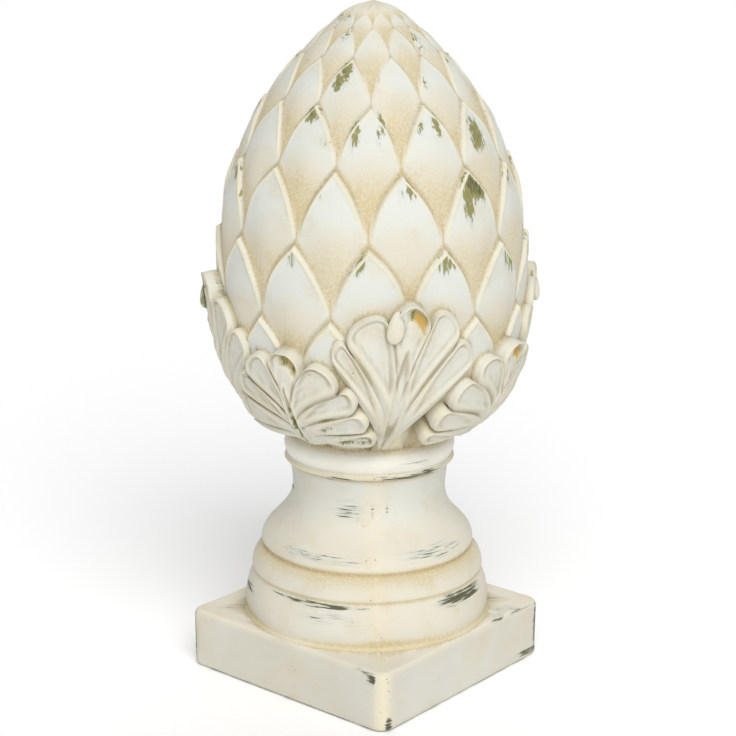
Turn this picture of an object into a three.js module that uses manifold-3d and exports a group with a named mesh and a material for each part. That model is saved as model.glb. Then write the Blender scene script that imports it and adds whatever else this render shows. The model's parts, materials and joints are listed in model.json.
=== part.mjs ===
// A cast pinecone finial: a square plinth, a turned pedestal, a collar of lobed leaves and a cone of
// overlapping scales, all one solid. Millimetres, +Z up, with the origin at the middle of the plinth's
// underside.
import * as THREE from "three";
import { mergeVertices } from "three/addons/utils/BufferGeometryUtils.js";
import Module from "manifold-3d";

// Plinth
const PLINTH_SIDE = 123;
const PLINTH_HEIGHT = 28.5;
const PLINTH_CORNER_RADIUS = 7;
const PLINTH_ARRIS = 2.5;

// Turned pedestal, from the plinth upwards
const FOOT_HEIGHT = 2.2;
const FOOT_RADIUS = 59.4;
const TORUS_HEIGHT = 20;
const TORUS_RADIUS = 58.8;
const OVOLO_HEIGHT = 12;
const OVOLO_RADIUS = 55.6;
const BELL_HEIGHT = 43.5;
const BELL_RADIUS = 51.2;
const NECK_RADIUS = 36.7;
const BAND_HEIGHT = 10.5;
const BAND_RADIUS = 41;
const GROOVE_DEPTH = 1.6;
// Where along their heights the torus and the ovolo are fullest, and where the bell is narrowest
const TORUS_CREST_SHARE = 0.45;
const OVOLO_CREST_SHARE = 0.7;
const NECK_SHARE = 0.7;
// How far the bell's curve holds upright at its foot, at its neck and under the band, as shares of its height
const BELL_FOOT_HOLD = 0.24;
const BELL_NECK_HOLD = 0.4;
const BELL_TOP_HOLD = 0.2;

// Cone: its widest place is the girdle
const CONE_HEIGHT = 203.3;
const CONE_RADIUS = 72.7;
const GIRDLE_SHARE = 0.426;
// Powers of the outline above and below the girdle, and how much deeper than its foot the lower round is
const CONE_TIP_POWER = 0.75;
const CONE_FOOT_POWER = 3;
const CONE_FOOT_STRETCH = 1.1;
const SCALES_AROUND = 13;
// Depth of the scales' relief, as a share of the cone's radius where they are
const SCALE_DEPTH_SHARE = 0.042;
// How far a scale's upper edges swing outwards where they leave its neighbours
const SCALE_BOW = 0.62;
const SCALE_BOW_POWER = 1.3;
// A scale has swollen fully at this share of its way up, and is this far out there
const SCALE_SWELL_SHARE = 0.6;
const SCALE_FOOT_RELIEF = 0.8;
const SCALE_TURN = THREE.MathUtils.degToRad(-37.5);
// Heights of the rows where scales touch, as shares of the cone's height; the last row stops short of the tip
const ROW_SHARES = [0, 0.184, 0.346, 0.507, 0.667, 0.798, 0.89, 0.945, 0.975, 0.99];

// Leaves: four tall ones near the plinth's corners, and four low ones between them. A leaf has its length
// from root to tip along the cone, its spread in degrees to each side, and the shoulder and taper that
// shorten its outer lobes. It stands off the cone by its root, stand and tip heights.
const LEAF_TURN = THREE.MathUtils.degToRad(8);
const LEAVES_IN_A_TIER = 4;
const TALL_LEAF = {
  length: 83,
  spread: 33,
  lobes: 7,
  shoulder: 0.8,
  taper: 1.3,
  root: 2,
  stand: 3.2,
  tip: 7.2,
};
const LOW_LEAF = {
  length: 56,
  spread: 80,
  lobes: 9,
  shoulder: 0.56,
  taper: 1.6,
  root: 3.2,
  stand: 5.8,
  tip: 10,
};
const LOBE_NOTCH = 0.16;
const FLUTE_DEPTH = 1.5;
// A flute is hollow along its middle, where it keeps this share of the height of its two ridges
const FLUTE_MIDDLE = 0.45;
// The tip curls away from the cone between these shares of the leaf's length, over this many lobes
const CURL_START = 0.6;
const CURL_END = 0.92;
const CURL_LOBES = 1.2;
const OUTLINE_ROUNDING = 0.35;
// The leaves spring this far above the band, and their inner side lies this deep in the cone
const LEAF_START = 8;
const LEAF_ROOT = 7;

// Fineness of the faceted surfaces
const TURNED_SEGMENTS = 30;
const CURVE_POINTS = 3;
const SCALE_PLACES = [0, 0.3, 0.65, 0.93];
const LOBE_PLACES = 3;
const LEAF_PLACES = [0.14, 0.5, 0.88, 1];

const footBase = PLINTH_HEIGHT;
const torusBase = footBase + FOOT_HEIGHT;
const ovoloBase = torusBase + TORUS_HEIGHT;
const bellBase = ovoloBase + OVOLO_HEIGHT;
const bandBase = bellBase + BELL_HEIGHT;
const coneBase = bandBase + BAND_HEIGHT;
const coneTip = coneBase + CONE_HEIGHT;
const girdleHeight = coneBase + GIRDLE_SHARE * CONE_HEIGHT;

const { smoothstep, clamp, degToRad } = THREE.MathUtils;
const wasm = await Module();
wasm.setup();

function solidOf(geometry) {
  const bare = geometry.clone();
  bare.deleteAttribute("normal");
  bare.deleteAttribute("uv");
  const merged = mergeVertices(bare, 1e-4);
  return new wasm.Manifold(
    new wasm.Mesh({
      numProp: 3,
      vertProperties: new Float32Array(merged.attributes.position.array),
      triVerts: new Uint32Array(merged.index.array),
    }),
  );
}

function geometryOf(solid) {
  const mesh = solid.getMesh();
  const geometry = new THREE.BufferGeometry();
  geometry.setAttribute("position", new THREE.BufferAttribute(mesh.vertProperties, 3));
  geometry.setIndex(new THREE.BufferAttribute(mesh.triVerts, 1));
  geometry.computeVertexNormals();
  return geometry;
}

// The plinth is a rounded square, with its top and bottom edges softened.
function plinthGeometry() {
  const half = PLINTH_SIDE / 2 - PLINTH_ARRIS;
  const corner = PLINTH_CORNER_RADIUS - PLINTH_ARRIS;
  const square = new THREE.Shape();
  square.moveTo(half, -half + corner);
  square.lineTo(half, half - corner);
  square.absarc(half - corner, half - corner, corner, 0, Math.PI / 2, false);
  square.absarc(-half + corner, half - corner, corner, Math.PI / 2, Math.PI, false);
  square.absarc(-half + corner, -half + corner, corner, Math.PI, 1.5 * Math.PI, false);
  square.absarc(half - corner, -half + corner, corner, 1.5 * Math.PI, 2 * Math.PI, false);
  const slab = new THREE.ExtrudeGeometry(square, {
    depth: PLINTH_HEIGHT - 2 * PLINTH_ARRIS,
    bevelThickness: PLINTH_ARRIS,
    bevelSize: PLINTH_ARRIS,
    bevelSegments: 2,
    curveSegments: 4,
  });
  return slab.translate(0, 0, PLINTH_ARRIS);
}

// The pedestal is turned: foot, torus, ovolo, bell with a narrow neck, and the band under the leaves.
// It starts inside the plinth and ends inside the cone, where nothing of it shows.
function pedestalGeometry() {
  const outline = new THREE.Path();
  const bellFoot = bellBase + GROOVE_DEPTH;
  const neckHeight = bellBase + NECK_SHARE * BELL_HEIGHT;
  outline.moveTo(0, PLINTH_HEIGHT / 2);
  outline.lineTo(FOOT_RADIUS, PLINTH_HEIGHT / 2);
  outline.lineTo(FOOT_RADIUS, torusBase);
  outline.quadraticCurveTo(
    TORUS_RADIUS + GROOVE_DEPTH,
    torusBase + TORUS_CREST_SHARE * TORUS_HEIGHT,
    OVOLO_RADIUS - GROOVE_DEPTH / 2,
    ovoloBase,
  );
  outline.lineTo(OVOLO_RADIUS + GROOVE_DEPTH / 4, ovoloBase + GROOVE_DEPTH / 2);
  outline.quadraticCurveTo(
    OVOLO_RADIUS,
    ovoloBase + OVOLO_CREST_SHARE * OVOLO_HEIGHT,
    BELL_RADIUS - GROOVE_DEPTH,
    bellBase - GROOVE_DEPTH / 2,
  );
  outline.lineTo(BELL_RADIUS - GROOVE_DEPTH, bellBase);
  outline.lineTo(BELL_RADIUS, bellFoot);
  outline.bezierCurveTo(
    BELL_RADIUS,
    bellFoot + BELL_FOOT_HOLD * BELL_HEIGHT,
    NECK_RADIUS,
    neckHeight - BELL_NECK_HOLD * BELL_HEIGHT,
    NECK_RADIUS,
    neckHeight,
  );
  outline.quadraticCurveTo(
    NECK_RADIUS,
    bandBase - BELL_TOP_HOLD * BELL_HEIGHT,
    BAND_RADIUS - GROOVE_DEPTH,
    bandBase - GROOVE_DEPTH,
  );
  outline.lineTo(BAND_RADIUS - 1.5 * GROOVE_DEPTH, bandBase);
  outline.quadraticCurveTo(
    BAND_RADIUS + GROOVE_DEPTH,
    bandBase + BAND_HEIGHT / 2,
    BAND_RADIUS - GROOVE_DEPTH,
    coneBase,
  );
  outline.lineTo(NECK_RADIUS - GROOVE_DEPTH, coneBase + BAND_HEIGHT);
  outline.lineTo(0, coneBase + BAND_HEIGHT);
  const turned = new THREE.LatheGeometry(outline.getPoints(CURVE_POINTS), TURNED_SEGMENTS);
  return turned.rotateX(Math.PI / 2);
}

// The cone's radius at a height: a blunt point above the girdle and a full round below it.
function coneRadius(z) {
  if (z >= girdleHeight) {
    const share = clamp((z - girdleHeight) / (coneTip - girdleHeight), 0, 1);
    return CONE_RADIUS * (1 - share ** 2) ** CONE_TIP_POWER;
  }
  const share = (girdleHeight - z) / (CONE_FOOT_STRETCH * (girdleHeight - coneBase));
  return CONE_RADIUS * Math.sqrt(1 - share ** CONE_FOOT_POWER);
}

// A point at an angle and height on the cone, set off outwards along the surface's own normal.
function onCone(angle, z, offset) {
  const step = 0.01;
  const slope = (coneRadius(z + step) - coneRadius(z - step)) / (2 * step);
  const length = Math.hypot(1, slope);
  const r = coneRadius(z) + offset / length;
  return new THREE.Vector3(r * Math.cos(angle), r * Math.sin(angle), z - (offset * slope) / length);
}

// The height share of a whole row number. Past either end the rows are mirrored.
function rowShare(row) {
  const last = ROW_SHARES.length - 1;
  if (row > last) return 2 * ROW_SHARES[last] - ROW_SHARES[2 * last - row];
  return ROW_SHARES[Math.abs(row)] * Math.sign(row);
}

// Height of a row number, whole or not: a smooth curve through the rows' own heights.
function rowHeight(row) {
  const last = ROW_SHARES.length - 1;
  const k = clamp(Math.floor(row), 0, last - 1);
  const t = row - k;
  const [a, b, c, d] = [k - 1, k, k + 1, k + 2].map(rowShare);
  const curve = b + (t * (c - a + t * (2 * a - 5 * b + 4 * c - d + t * (3 * (b - c) + d - a)))) / 2;
  return coneBase + curve * CONE_HEIGHT;
}

// How far a scale stands out, from 0 at its foot to 1 at its tip. Right and left run from its foot to the two
// edges that meet at the tip: it swells from the foot, stays proud, and drops at those edges.
function scaleRelief(right, left) {
  const swell = (t) => Math.sin((Math.PI / 2) * Math.min(t / SCALE_SWELL_SHARE, 1));
  const edge = (t) => 1 - smoothstep(t, SCALE_PLACES.at(-1), 1);
  const rise = SCALE_FOOT_RELIEF + ((1 - SCALE_FOOT_RELIEF) * (right + left)) / 2;
  return swell(right) * swell(left) * edge(right) * edge(left) * rise;
}

// Scales fill a net of slanting lines. Counted along those lines, a place has a right and a left number, and
// their sum is its row. The lines bow outwards, which gives each scale its pointed-arch outline.
function coneGeometry() {
  const places = SCALE_PLACES.length;
  const around = 2 * SCALES_AROUND * places;
  const topRow = ROW_SHARES.length - 1;
  const positions = [];
  const index = [];
  const known = new Map();
  const bow = (t) => SCALE_BOW * t * (1 - t) ** SCALE_BOW_POWER;
  const split = (n) => {
    const whole = Math.floor(n / places);
    return [whole, SCALE_PLACES[n - whole * places]];
  };
  function place(rightCount, leftCount) {
    const turn = (((rightCount - leftCount) % around) + around) % around;
    const key = turn + "/" + (rightCount + leftCount);
    if (!known.has(key)) {
      const [rightWhole, right] = split(rightCount);
      const [leftWhole, left] = split(leftCount);
      const rightBowed = rightWhole + right + bow(left);
      const leftBowed = leftWhole + left + bow(right);
      const angle = SCALE_TURN + ((rightBowed - leftBowed) * Math.PI) / SCALES_AROUND;
      const z = rowHeight(rightBowed + leftBowed);
      const depth = SCALE_DEPTH_SHARE * coneRadius(z);
      known.set(key, positions.length / 3);
      positions.push(...onCone(angle, z, depth * (scaleRelief(right, left) - 1)).toArray());
    }
    return known.get(key);
  }
  const tip = positions.push(0, 0, coneTip) / 3 - 1;
  const foot = positions.push(0, 0, coneBase + BAND_HEIGHT / 2) / 3 - 1;
  const footDepth = SCALE_DEPTH_SHARE * coneRadius(coneBase);
  const between = Array.from({ length: SCALES_AROUND }, (_, k) => {
    const angle = SCALE_TURN + ((2 * k + 1) * Math.PI) / SCALES_AROUND;
    return positions.push(...onCone(angle, coneBase, -footDepth).toArray()) / 3 - 1;
  });
  for (let row = 0; row <= topRow - 2; row++) {
    for (let k = 0; k < SCALES_AROUND; k++) {
      const rightStart = ((row + (row % 2)) / 2 + k) * places;
      const leftStart = row * places - rightStart;
      for (let i = 0; i < places; i++) {
        for (let j = 0; j < places; j++) {
          const a = place(rightStart + i, leftStart + j);
          const b = place(rightStart + i + 1, leftStart + j);
          const c = place(rightStart + i + 1, leftStart + j + 1);
          const d = place(rightStart + i, leftStart + j + 1);
          index.push(a, b, c, a, c, d);
        }
      }
      const nextFoot = between[k];
      const lastFoot = between[(k + SCALES_AROUND - 1) % SCALES_AROUND];
      if (row === 0) {
        index.push(foot, nextFoot, place(rightStart, leftStart));
        index.push(foot, place(rightStart, leftStart), lastFoot);
      }
      for (let i = 0; i < places; i++) {
        const rightEnd = rightStart + places;
        const leftEnd = leftStart + places;
        if (row === 0) {
          index.push(nextFoot, place(rightStart + i + 1, leftStart), place(rightStart + i, leftStart));
          index.push(lastFoot, place(rightStart, leftStart + i), place(rightStart, leftStart + i + 1));
        }
        if (row === topRow - 2) {
          index.push(tip, place(rightStart + i, leftEnd), place(rightStart + i + 1, leftEnd));
          index.push(tip, place(rightEnd, leftStart + i + 1), place(rightEnd, leftStart + i));
        }
      }
    }
  }
  const geometry = new THREE.BufferGeometry();
  geometry.setAttribute("position", new THREE.Float32BufferAttribute(positions, 3));
  geometry.setIndex(index);
  return geometry;
}

// The line up the cone that a leaf lies along, measured by its own length.
class LeafBed extends THREE.Curve {
  getPoint(t, target = new THREE.Vector2()) {
    const z = coneBase + LEAF_START + t * (girdleHeight - coneBase);
    return target.set(coneRadius(z), z);
  }
}

// A leaf is a fan of fluted lobes that spread from its root. Its outer skin stands off the cone, most of
// all at the tip, and its inner skin lies inside the cone.
function leafGeometry(leaf, angle, bed, bedLength) {
  const pitch = (2 * leaf.spread) / leaf.lobes;
  const columns = leaf.lobes * LOBE_PLACES;
  const rows = LEAF_PLACES.length - 1;
  function place(column, row, side) {
    const degrees = (column / columns - 0.5) * 2 * leaf.spread;
    const across = 2 * ((column % LOBE_PLACES) / LOBE_PLACES) - 1;
    const shortening = (1 - leaf.shoulder) * (Math.abs(degrees) / leaf.spread) ** leaf.taper;
    const lobe = 1 - LOBE_NOTCH + LOBE_NOTCH * Math.sqrt(1 - across ** 2);
    const share = LEAF_PLACES[row];
    const out = share * leaf.length * (1 - shortening) * lobe;
    const onBed = bed.getPointAt(clamp((out * Math.cos(degToRad(degrees))) / bedLength, 0, 1));
    const turned = angle + (out * Math.sin(degToRad(degrees))) / onBed.x;
    const nearMidrib = Math.exp(-((degrees / (CURL_LOBES * pitch)) ** 2));
    const curl = (leaf.tip - leaf.stand) * smoothstep(share, CURL_START, CURL_END) * nearMidrib;
    const ridges = (1 - across ** 4) * (FLUTE_MIDDLE + 2 * across ** 2);
    const flute = FLUTE_DEPTH * (ridges * smoothstep(share, 0, CURL_START) - 0.5);
    const rounding = 1 - OUTLINE_ROUNDING * smoothstep(share, CURL_END, 1);
    const rise = leaf.root + (leaf.stand - leaf.root) * smoothstep(share, 0, CURL_START);
    const stand = (rise + curl + flute) * rounding;
    return onCone(turned, onBed.y, side ? stand : -LEAF_ROOT);
  }
  const positions = [];
  for (const side of [1, 0])
    for (let column = 0; column <= columns; column++)
      for (let row = 0; row <= rows; row++)
        positions.push(...place(column, row, side).toArray());
  const skin = (columns + 1) * (rows + 1);
  const at = (column, row, side) => (side ? 0 : skin) + column * (rows + 1) + row;
  const index = [];
  const quad = (a, b, c, d) => index.push(a, b, c, a, c, d);
  for (let i = 0; i < columns; i++)
    for (let j = 0; j < rows; j++) {
      quad(at(i, j, 1), at(i + 1, j, 1), at(i + 1, j + 1, 1), at(i, j + 1, 1));
      quad(at(i, j, 0), at(i, j + 1, 0), at(i + 1, j + 1, 0), at(i + 1, j, 0));
    }
  for (let i = 0; i < columns; i++) {
    quad(at(i, 0, 0), at(i + 1, 0, 0), at(i + 1, 0, 1), at(i, 0, 1));
    quad(at(i, rows, 1), at(i + 1, rows, 1), at(i + 1, rows, 0), at(i, rows, 0));
  }
  for (let j = 0; j < rows; j++) {
    quad(at(0, j, 0), at(0, j, 1), at(0, j + 1, 1), at(0, j + 1, 0));
    quad(at(columns, j, 1), at(columns, j, 0), at(columns, j + 1, 0), at(columns, j + 1, 1));
  }
  const geometry = new THREE.BufferGeometry();
  geometry.setAttribute("position", new THREE.Float32BufferAttribute(positions, 3));
  geometry.setIndex(index);
  return geometry;
}

function finialSolid() {
  const bed = new LeafBed();
  const bedLength = bed.getLength();
  let solid = solidOf(plinthGeometry()).add(solidOf(pedestalGeometry())).add(solidOf(coneGeometry()));
  const tiers = [
    [TALL_LEAF, Math.PI / 4],
    [LOW_LEAF, 0],
  ];
  for (const [leaf, start] of tiers)
    for (let k = 0; k < LEAVES_IN_A_TIER; k++) {
      const angle = start + LEAF_TURN + (2 * Math.PI * k) / LEAVES_IN_A_TIER;
      solid = solid.add(solidOf(leafGeometry(leaf, angle, bed, bedLength)));
    }
  return solid;
}

const paintedCeramic = new THREE.MeshStandardMaterial({ color: 0xe6e0cf, roughness: 0.75, metalness: 0 });
const finial = new THREE.Mesh(geometryOf(finialSolid()), paintedCeramic);
finial.name = "pinecone_finial";

const part = new THREE.Group();
part.add(finial);

export default part;
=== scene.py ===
# %% [markdown]
# # A chalk-painted pinecone finial
#
# The object is one slip-cast ceramic body: liquid clay was poured into a plaster mould, and the square
# plinth, the turned pedestal, the leaf collar and the cone of scales came out as one hollow shell. It was
# then sprayed olive, painted off-white, washed with ochre that settled in the hollows, and rubbed back so
# that the olive shows again on the proud edges. This lesson builds the visible surface as one fine mesh over
# the plain solid of the frame.
#
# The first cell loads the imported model, which is in metres with +Z up, and keeps its box.

# %% Load the frame
import json

import bpy
import numpy as np
from mathutils import Matrix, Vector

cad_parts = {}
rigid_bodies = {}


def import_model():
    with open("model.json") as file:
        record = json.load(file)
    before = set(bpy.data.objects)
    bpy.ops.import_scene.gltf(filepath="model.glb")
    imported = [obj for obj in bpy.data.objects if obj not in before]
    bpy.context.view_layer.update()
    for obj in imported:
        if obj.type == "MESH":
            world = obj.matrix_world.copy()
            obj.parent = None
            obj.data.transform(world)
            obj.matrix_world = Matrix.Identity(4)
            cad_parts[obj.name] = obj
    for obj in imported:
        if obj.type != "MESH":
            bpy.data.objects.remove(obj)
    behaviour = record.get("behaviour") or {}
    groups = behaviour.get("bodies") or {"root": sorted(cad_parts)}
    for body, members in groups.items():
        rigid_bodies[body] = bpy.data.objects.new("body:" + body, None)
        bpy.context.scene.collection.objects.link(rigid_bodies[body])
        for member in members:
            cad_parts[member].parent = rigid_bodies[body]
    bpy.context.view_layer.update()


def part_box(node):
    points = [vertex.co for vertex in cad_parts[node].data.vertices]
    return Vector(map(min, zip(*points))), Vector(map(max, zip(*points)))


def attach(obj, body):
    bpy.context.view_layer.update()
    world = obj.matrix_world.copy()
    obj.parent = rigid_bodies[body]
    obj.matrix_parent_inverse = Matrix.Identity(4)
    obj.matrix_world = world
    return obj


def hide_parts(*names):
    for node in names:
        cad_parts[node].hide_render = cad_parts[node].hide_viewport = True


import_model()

NODE = "pinecone_finial"
low, high = (np.array(corner, float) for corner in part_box(NODE))
HEIGHT_MM = 320.0
MM = (high[2] - low[2]) / HEIGHT_MM
print("box of the solid in mm:", np.round((high - low) / MM, 1))

# %% [markdown]
# ## Camera
#
# The photograph was taken from a little above, with a corner of the plinth turned almost to the lens.
# Distance, height and focal length were worked out from the plinth's corners, the rings of the pedestal and
# the rows of scales. The camera comes first, so that every later step can be looked at from the same place.

# %% Camera
CAMERA_AZIMUTH = 39.93
CAMERA_DISTANCE = 837.8
CAMERA_HEIGHT = 373.8
CAMERA_PITCH = 15.07
CAMERA_ROLL = 0.3
SENSOR_WIDTH = 36.0
FOCAL_LENGTH = 89.4


def turned(degrees, axis):
    """A rotation matrix about one axis, from an angle in degrees."""
    return Matrix.Rotation(np.radians(degrees), 4, axis)


def make_camera():
    """Stands the camera at its azimuth, distance and height, looks down by the pitch, and rolls it."""
    data = bpy.data.cameras.new("photo_camera")
    data.sensor_width = SENSOR_WIDTH
    data.lens = FOCAL_LENGTH
    data.clip_end = 100.0
    camera = bpy.data.objects.new("photo_camera", data)
    azimuth = np.radians(CAMERA_AZIMUTH)
    x, y = CAMERA_DISTANCE * np.sin(azimuth), -CAMERA_DISTANCE * np.cos(azimuth)
    place = Matrix.Translation((x * MM, y * MM, CAMERA_HEIGHT * MM))
    aim = turned(CAMERA_AZIMUTH, "Z") @ turned(90.0 - CAMERA_PITCH, "X") @ turned(CAMERA_ROLL, "Z")
    camera.matrix_world = place @ aim
    bpy.context.scene.collection.objects.link(camera)
    bpy.context.scene.camera = camera
    return camera


camera = make_camera()
print("camera at", [round(v, 3) for v in camera.matrix_world.translation])

# %% [markdown]
# ## Floor and studio light
#
# The finial is shown on a plain white ground under very soft light from the front, which leaves hardly any
# shadow and lets both flanks fall off. Softboxes would light the near floor more than the far floor and leave
# a grey horizon. A sun with a wide disc lights the floor evenly all the way, so it is the key lamp here, and
# a faint second one keeps the back from going flat. The world is a pale dome that is white along the horizon,
# like a studio's curved backdrop, and dimmer to the left and right, as if two dark screens stood there. They
# draw the round of the cone.

# %% Colours and nodes
def linear(colour, alpha=1.0):
    """Turns an sRGB hex colour into linear red, green and blue, with its alpha behind."""
    srgb = np.array([int(colour[i : i + 2], 16) for i in (1, 3, 5)]) / 255.0
    low_part = srgb / 12.92
    high_part = ((srgb + 0.055) / 1.055) ** 2.4
    return (*np.where(srgb <= 0.04045, low_part, high_part).tolist(), alpha)


def add_node(tree, kind, inputs=(), **settings):
    """Adds a node, sets its properties, and fills its inputs, listed in their order or given by name, with a
    value or with a link to a socket or to another node's first output in use."""
    node = tree.nodes.new(kind)
    for name, value in settings.items():
        setattr(node, name, value)
    for name, value in inputs.items() if isinstance(inputs, dict) else enumerate(inputs):
        socket = next(s for i, s in enumerate(node.inputs) if name in (i, s.name) and s.enabled)
        if isinstance(value, bpy.types.Node):
            value = next(output for output in value.outputs if output.enabled)
        if isinstance(value, bpy.types.NodeSocket):
            tree.links.new(value, socket)
        else:
            socket.default_value = value
    return node


def new_material(name):
    """An empty node material with its output node."""
    material = bpy.data.materials.new(name)
    material.use_nodes = True
    material.node_tree.nodes.clear()
    return material, material.node_tree, add_node(material.node_tree, "ShaderNodeOutputMaterial")


print("middle grey in linear light:", round(linear("#808080")[0], 3))

# %% Floor
FLOOR_SIZE = 20.0
FLOOR_COLOUR, FLOOR_ROUGHNESS = "#FFFFFF", 0.9


def surface(name, points, faces):
    """Makes a smooth mesh object from arrays of points in mm and of faces, at the origin and in metres."""
    mesh = bpy.data.meshes.new(name)
    mesh.from_pydata((np.asarray(points) * MM).tolist(), [], np.asarray(faces).tolist())
    mesh.update()
    mesh.polygons.foreach_set("use_smooth", np.full(len(mesh.polygons), True))
    piece = bpy.data.objects.new(name, mesh)
    bpy.context.scene.collection.objects.link(piece)
    return piece


def make_floor():
    """A flat square at the height the plinth stands on, in matt white."""
    half = FLOOR_SIZE / MM / 2.0
    corners = [(-half, -half, 0), (half, -half, 0), (half, half, 0), (-half, half, 0)]
    floor = surface("floor", corners, [(0, 1, 2, 3)])
    material, tree, out = new_material("matt_paper_floor")
    paper = {"Base Color": linear(FLOOR_COLOUR), "Roughness": FLOOR_ROUGHNESS}
    shader = add_node(tree, "ShaderNodeBsdfPrincipled", paper)
    tree.links.new(shader.outputs["BSDF"], out.inputs["Surface"])
    floor.data.materials.append(material)


make_floor()
print("floor:", FLOOR_SIZE, "m wide")

# %% Studio light
DOME_STRENGTH, SIDE_STRENGTH, HORIZON_STRENGTH = 0.66, 0.2, 1.0
SCREENS_END, HORIZON_LOW, HORIZON_HIGH = 0.8, 0.02, 0.14
# Azimuth from the camera's, elevation and width of the disc in degrees, and strength.
SUNS = {"key_sun": (10.0, 42.0, 45.0, 2.3), "back_sun": (170.0, 50.0, 60.0, 0.35)}


def make_world():
    """A dome of light that is white along the horizon and dimmer to both sides of the object, as between two
    dark screens: its strength follows the height of a direction and how far it points towards or away from
    the camera."""
    world = bpy.data.worlds.new("studio")
    world.use_nodes = True
    tree = world.node_tree
    tree.nodes.clear()
    direction = add_node(tree, "ShaderNodeTexCoord").outputs["Generated"]
    azimuth = np.radians(CAMERA_AZIMUTH)
    front = (np.sin(azimuth), -np.cos(azimuth), 0.0)
    ahead = add_node(tree, "ShaderNodeVectorMath", [direction, front], operation="DOT_PRODUCT")
    ahead = add_node(tree, "ShaderNodeMath", [ahead], operation="ABSOLUTE")
    dome = add_node(tree, "ShaderNodeMapRange", [ahead, 0.0, SCREENS_END, SIDE_STRENGTH, DOME_STRENGTH])
    up = add_node(tree, "ShaderNodeSeparateXYZ", [direction]).outputs["Z"]
    strength = add_node(tree, "ShaderNodeMapRange", [up, HORIZON_LOW, HORIZON_HIGH, HORIZON_STRENGTH, dome])
    sky = add_node(tree, "ShaderNodeBackground", {"Color": linear("#FFFFFF"), "Strength": strength})
    tree.links.new(sky.outputs["Background"], add_node(tree, "ShaderNodeOutputWorld").inputs["Surface"])
    bpy.context.scene.world = world


def make_sun(name, azimuth, elevation, disc, strength):
    """A sun from an azimuth and elevation, as wide as its disc, all three in degrees."""
    data = bpy.data.lights.new(name, "SUN")
    data.angle = np.radians(disc)
    data.energy = strength
    lamp = bpy.data.objects.new(name, data)
    lamp.matrix_world = turned(azimuth, "Z") @ turned(90.0 - elevation, "X")
    bpy.context.scene.collection.objects.link(lamp)


bpy.context.scene.view_settings.view_transform = "Standard"
make_world()
for name, (from_camera, elevation, disc, strength) in SUNS.items():
    make_sun(name, CAMERA_AZIMUTH + from_camera, elevation, disc, strength)

# %% [markdown]
# ## Sizes
#
# The driving sizes are those of the solid, in mm, and they stack from the ground up. Every outline below is
# worked out from them, so the fine surface lies on the plain one.

# %% Sizes
PLINTH_SIDE, PLINTH_HEIGHT, PLINTH_CORNER, PLINTH_ARRIS = 123.0, 28.5, 7.0, 2.5
FOOT_HEIGHT, FOOT_RADIUS = 2.2, 59.4
TORUS_HEIGHT, TORUS_RADIUS = 20.0, 58.8
OVOLO_HEIGHT, OVOLO_RADIUS = 12.0, 55.6
BELL_HEIGHT, BELL_RADIUS, NECK_RADIUS = 43.5, 51.2, 36.7
BAND_HEIGHT, BAND_RADIUS, GROOVE_DEPTH = 10.5, 41.0, 1.6
CONE_RADIUS, GIRDLE_SHARE = 72.7, 0.426
SCALES_AROUND, SCALE_TURN, SCALE_BOW = 13, np.radians(-37.5), 0.54
SCALE_DEPTH_SHARE = 0.033
ROW_SHARES = np.array([0, 0.184, 0.346, 0.507, 0.667, 0.798, 0.89, 0.945, 0.975, 0.99])

TORUS_BASE = PLINTH_HEIGHT + FOOT_HEIGHT
OVOLO_BASE = TORUS_BASE + TORUS_HEIGHT
BELL_BASE = OVOLO_BASE + OVOLO_HEIGHT
BAND_BASE = BELL_BASE + BELL_HEIGHT
CONE_BASE = BAND_BASE + BAND_HEIGHT
CONE_HEIGHT = HEIGHT_MM - CONE_BASE
GIRDLE = CONE_BASE + GIRDLE_SHARE * CONE_HEIGHT
print("cone from", round(CONE_BASE, 1), "to", HEIGHT_MM, "mm, widest at", round(GIRDLE, 1))

# %% [markdown]
# ## The cone's body and its net of scales
#
# On the real finial the scales are one carved relief, so there is no separate scale to model. They could be
# copies of one scale set round the egg, but copies meet in untidy overlaps. Here the egg is covered by a
# slanting net instead: one patch of the net is one scale, its two lower sides lie deep, and at its two upper
# sides the surface drops to the scales above. Because the grid lines of the mesh run along those sides, the
# rims come out crisp.

# %% The egg
TIP_POWER, TIP_BLUNTING, FOOT_STRETCH = 0.75, 0.1, 1.1


def smoothstep(x, start, end):
    """Rises from 0 at start to 1 at end, with level ends: 3t squared minus 2t cubed."""
    t = np.clip((x - start) / (end - start), 0.0, 1.0)
    return t * t * (3.0 - 2.0 * t)


def within(x, rise_start, rise_end, fall_start, fall_end):
    """Rises from 0 to 1 between the first two values, and falls back to 0 between the last two."""
    return smoothstep(x, rise_start, rise_end) * (1.0 - smoothstep(x, fall_start, fall_end))


def ridge(x, place, width, power=2):
    """1 at its place, falling off like a bell: e to the minus of the distance over the width, to a power."""
    return np.exp(-(((x - place) / width) ** power))


def cone_radius(z):
    """Radius of the egg at a height. Above the girdle it is R (1 - t squared) to a power of 0.75, which falls
    to 0.65 near the blunt tip, and below it R times the root of 1 - s cubed, where t and s grow with the
    distance from the girdle."""
    t = np.clip((z - GIRDLE) / (HEIGHT_MM - GIRDLE), 0.0, 1.0)
    s = np.clip((GIRDLE - z) / (FOOT_STRETCH * (GIRDLE - CONE_BASE)), 0.0, 0.999)
    power = TIP_POWER - TIP_BLUNTING * smoothstep(t, 0.9, 1.0)
    return CONE_RADIUS * np.where(z >= GIRDLE, (1.0 - t**2) ** power, np.sqrt(1.0 - s**3))


def on_cone(angle, z, offset):
    """Points at an angle and height on the egg, moved out along its normal by the offset."""
    step = 0.01
    slope = (cone_radius(z + step) - cone_radius(z - step)) / (2.0 * step)
    length = np.hypot(1.0, slope)
    radius = cone_radius(z) + offset / length
    return np.stack([radius * np.cos(angle), radius * np.sin(angle), z - offset * slope / length], axis=-1)


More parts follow.
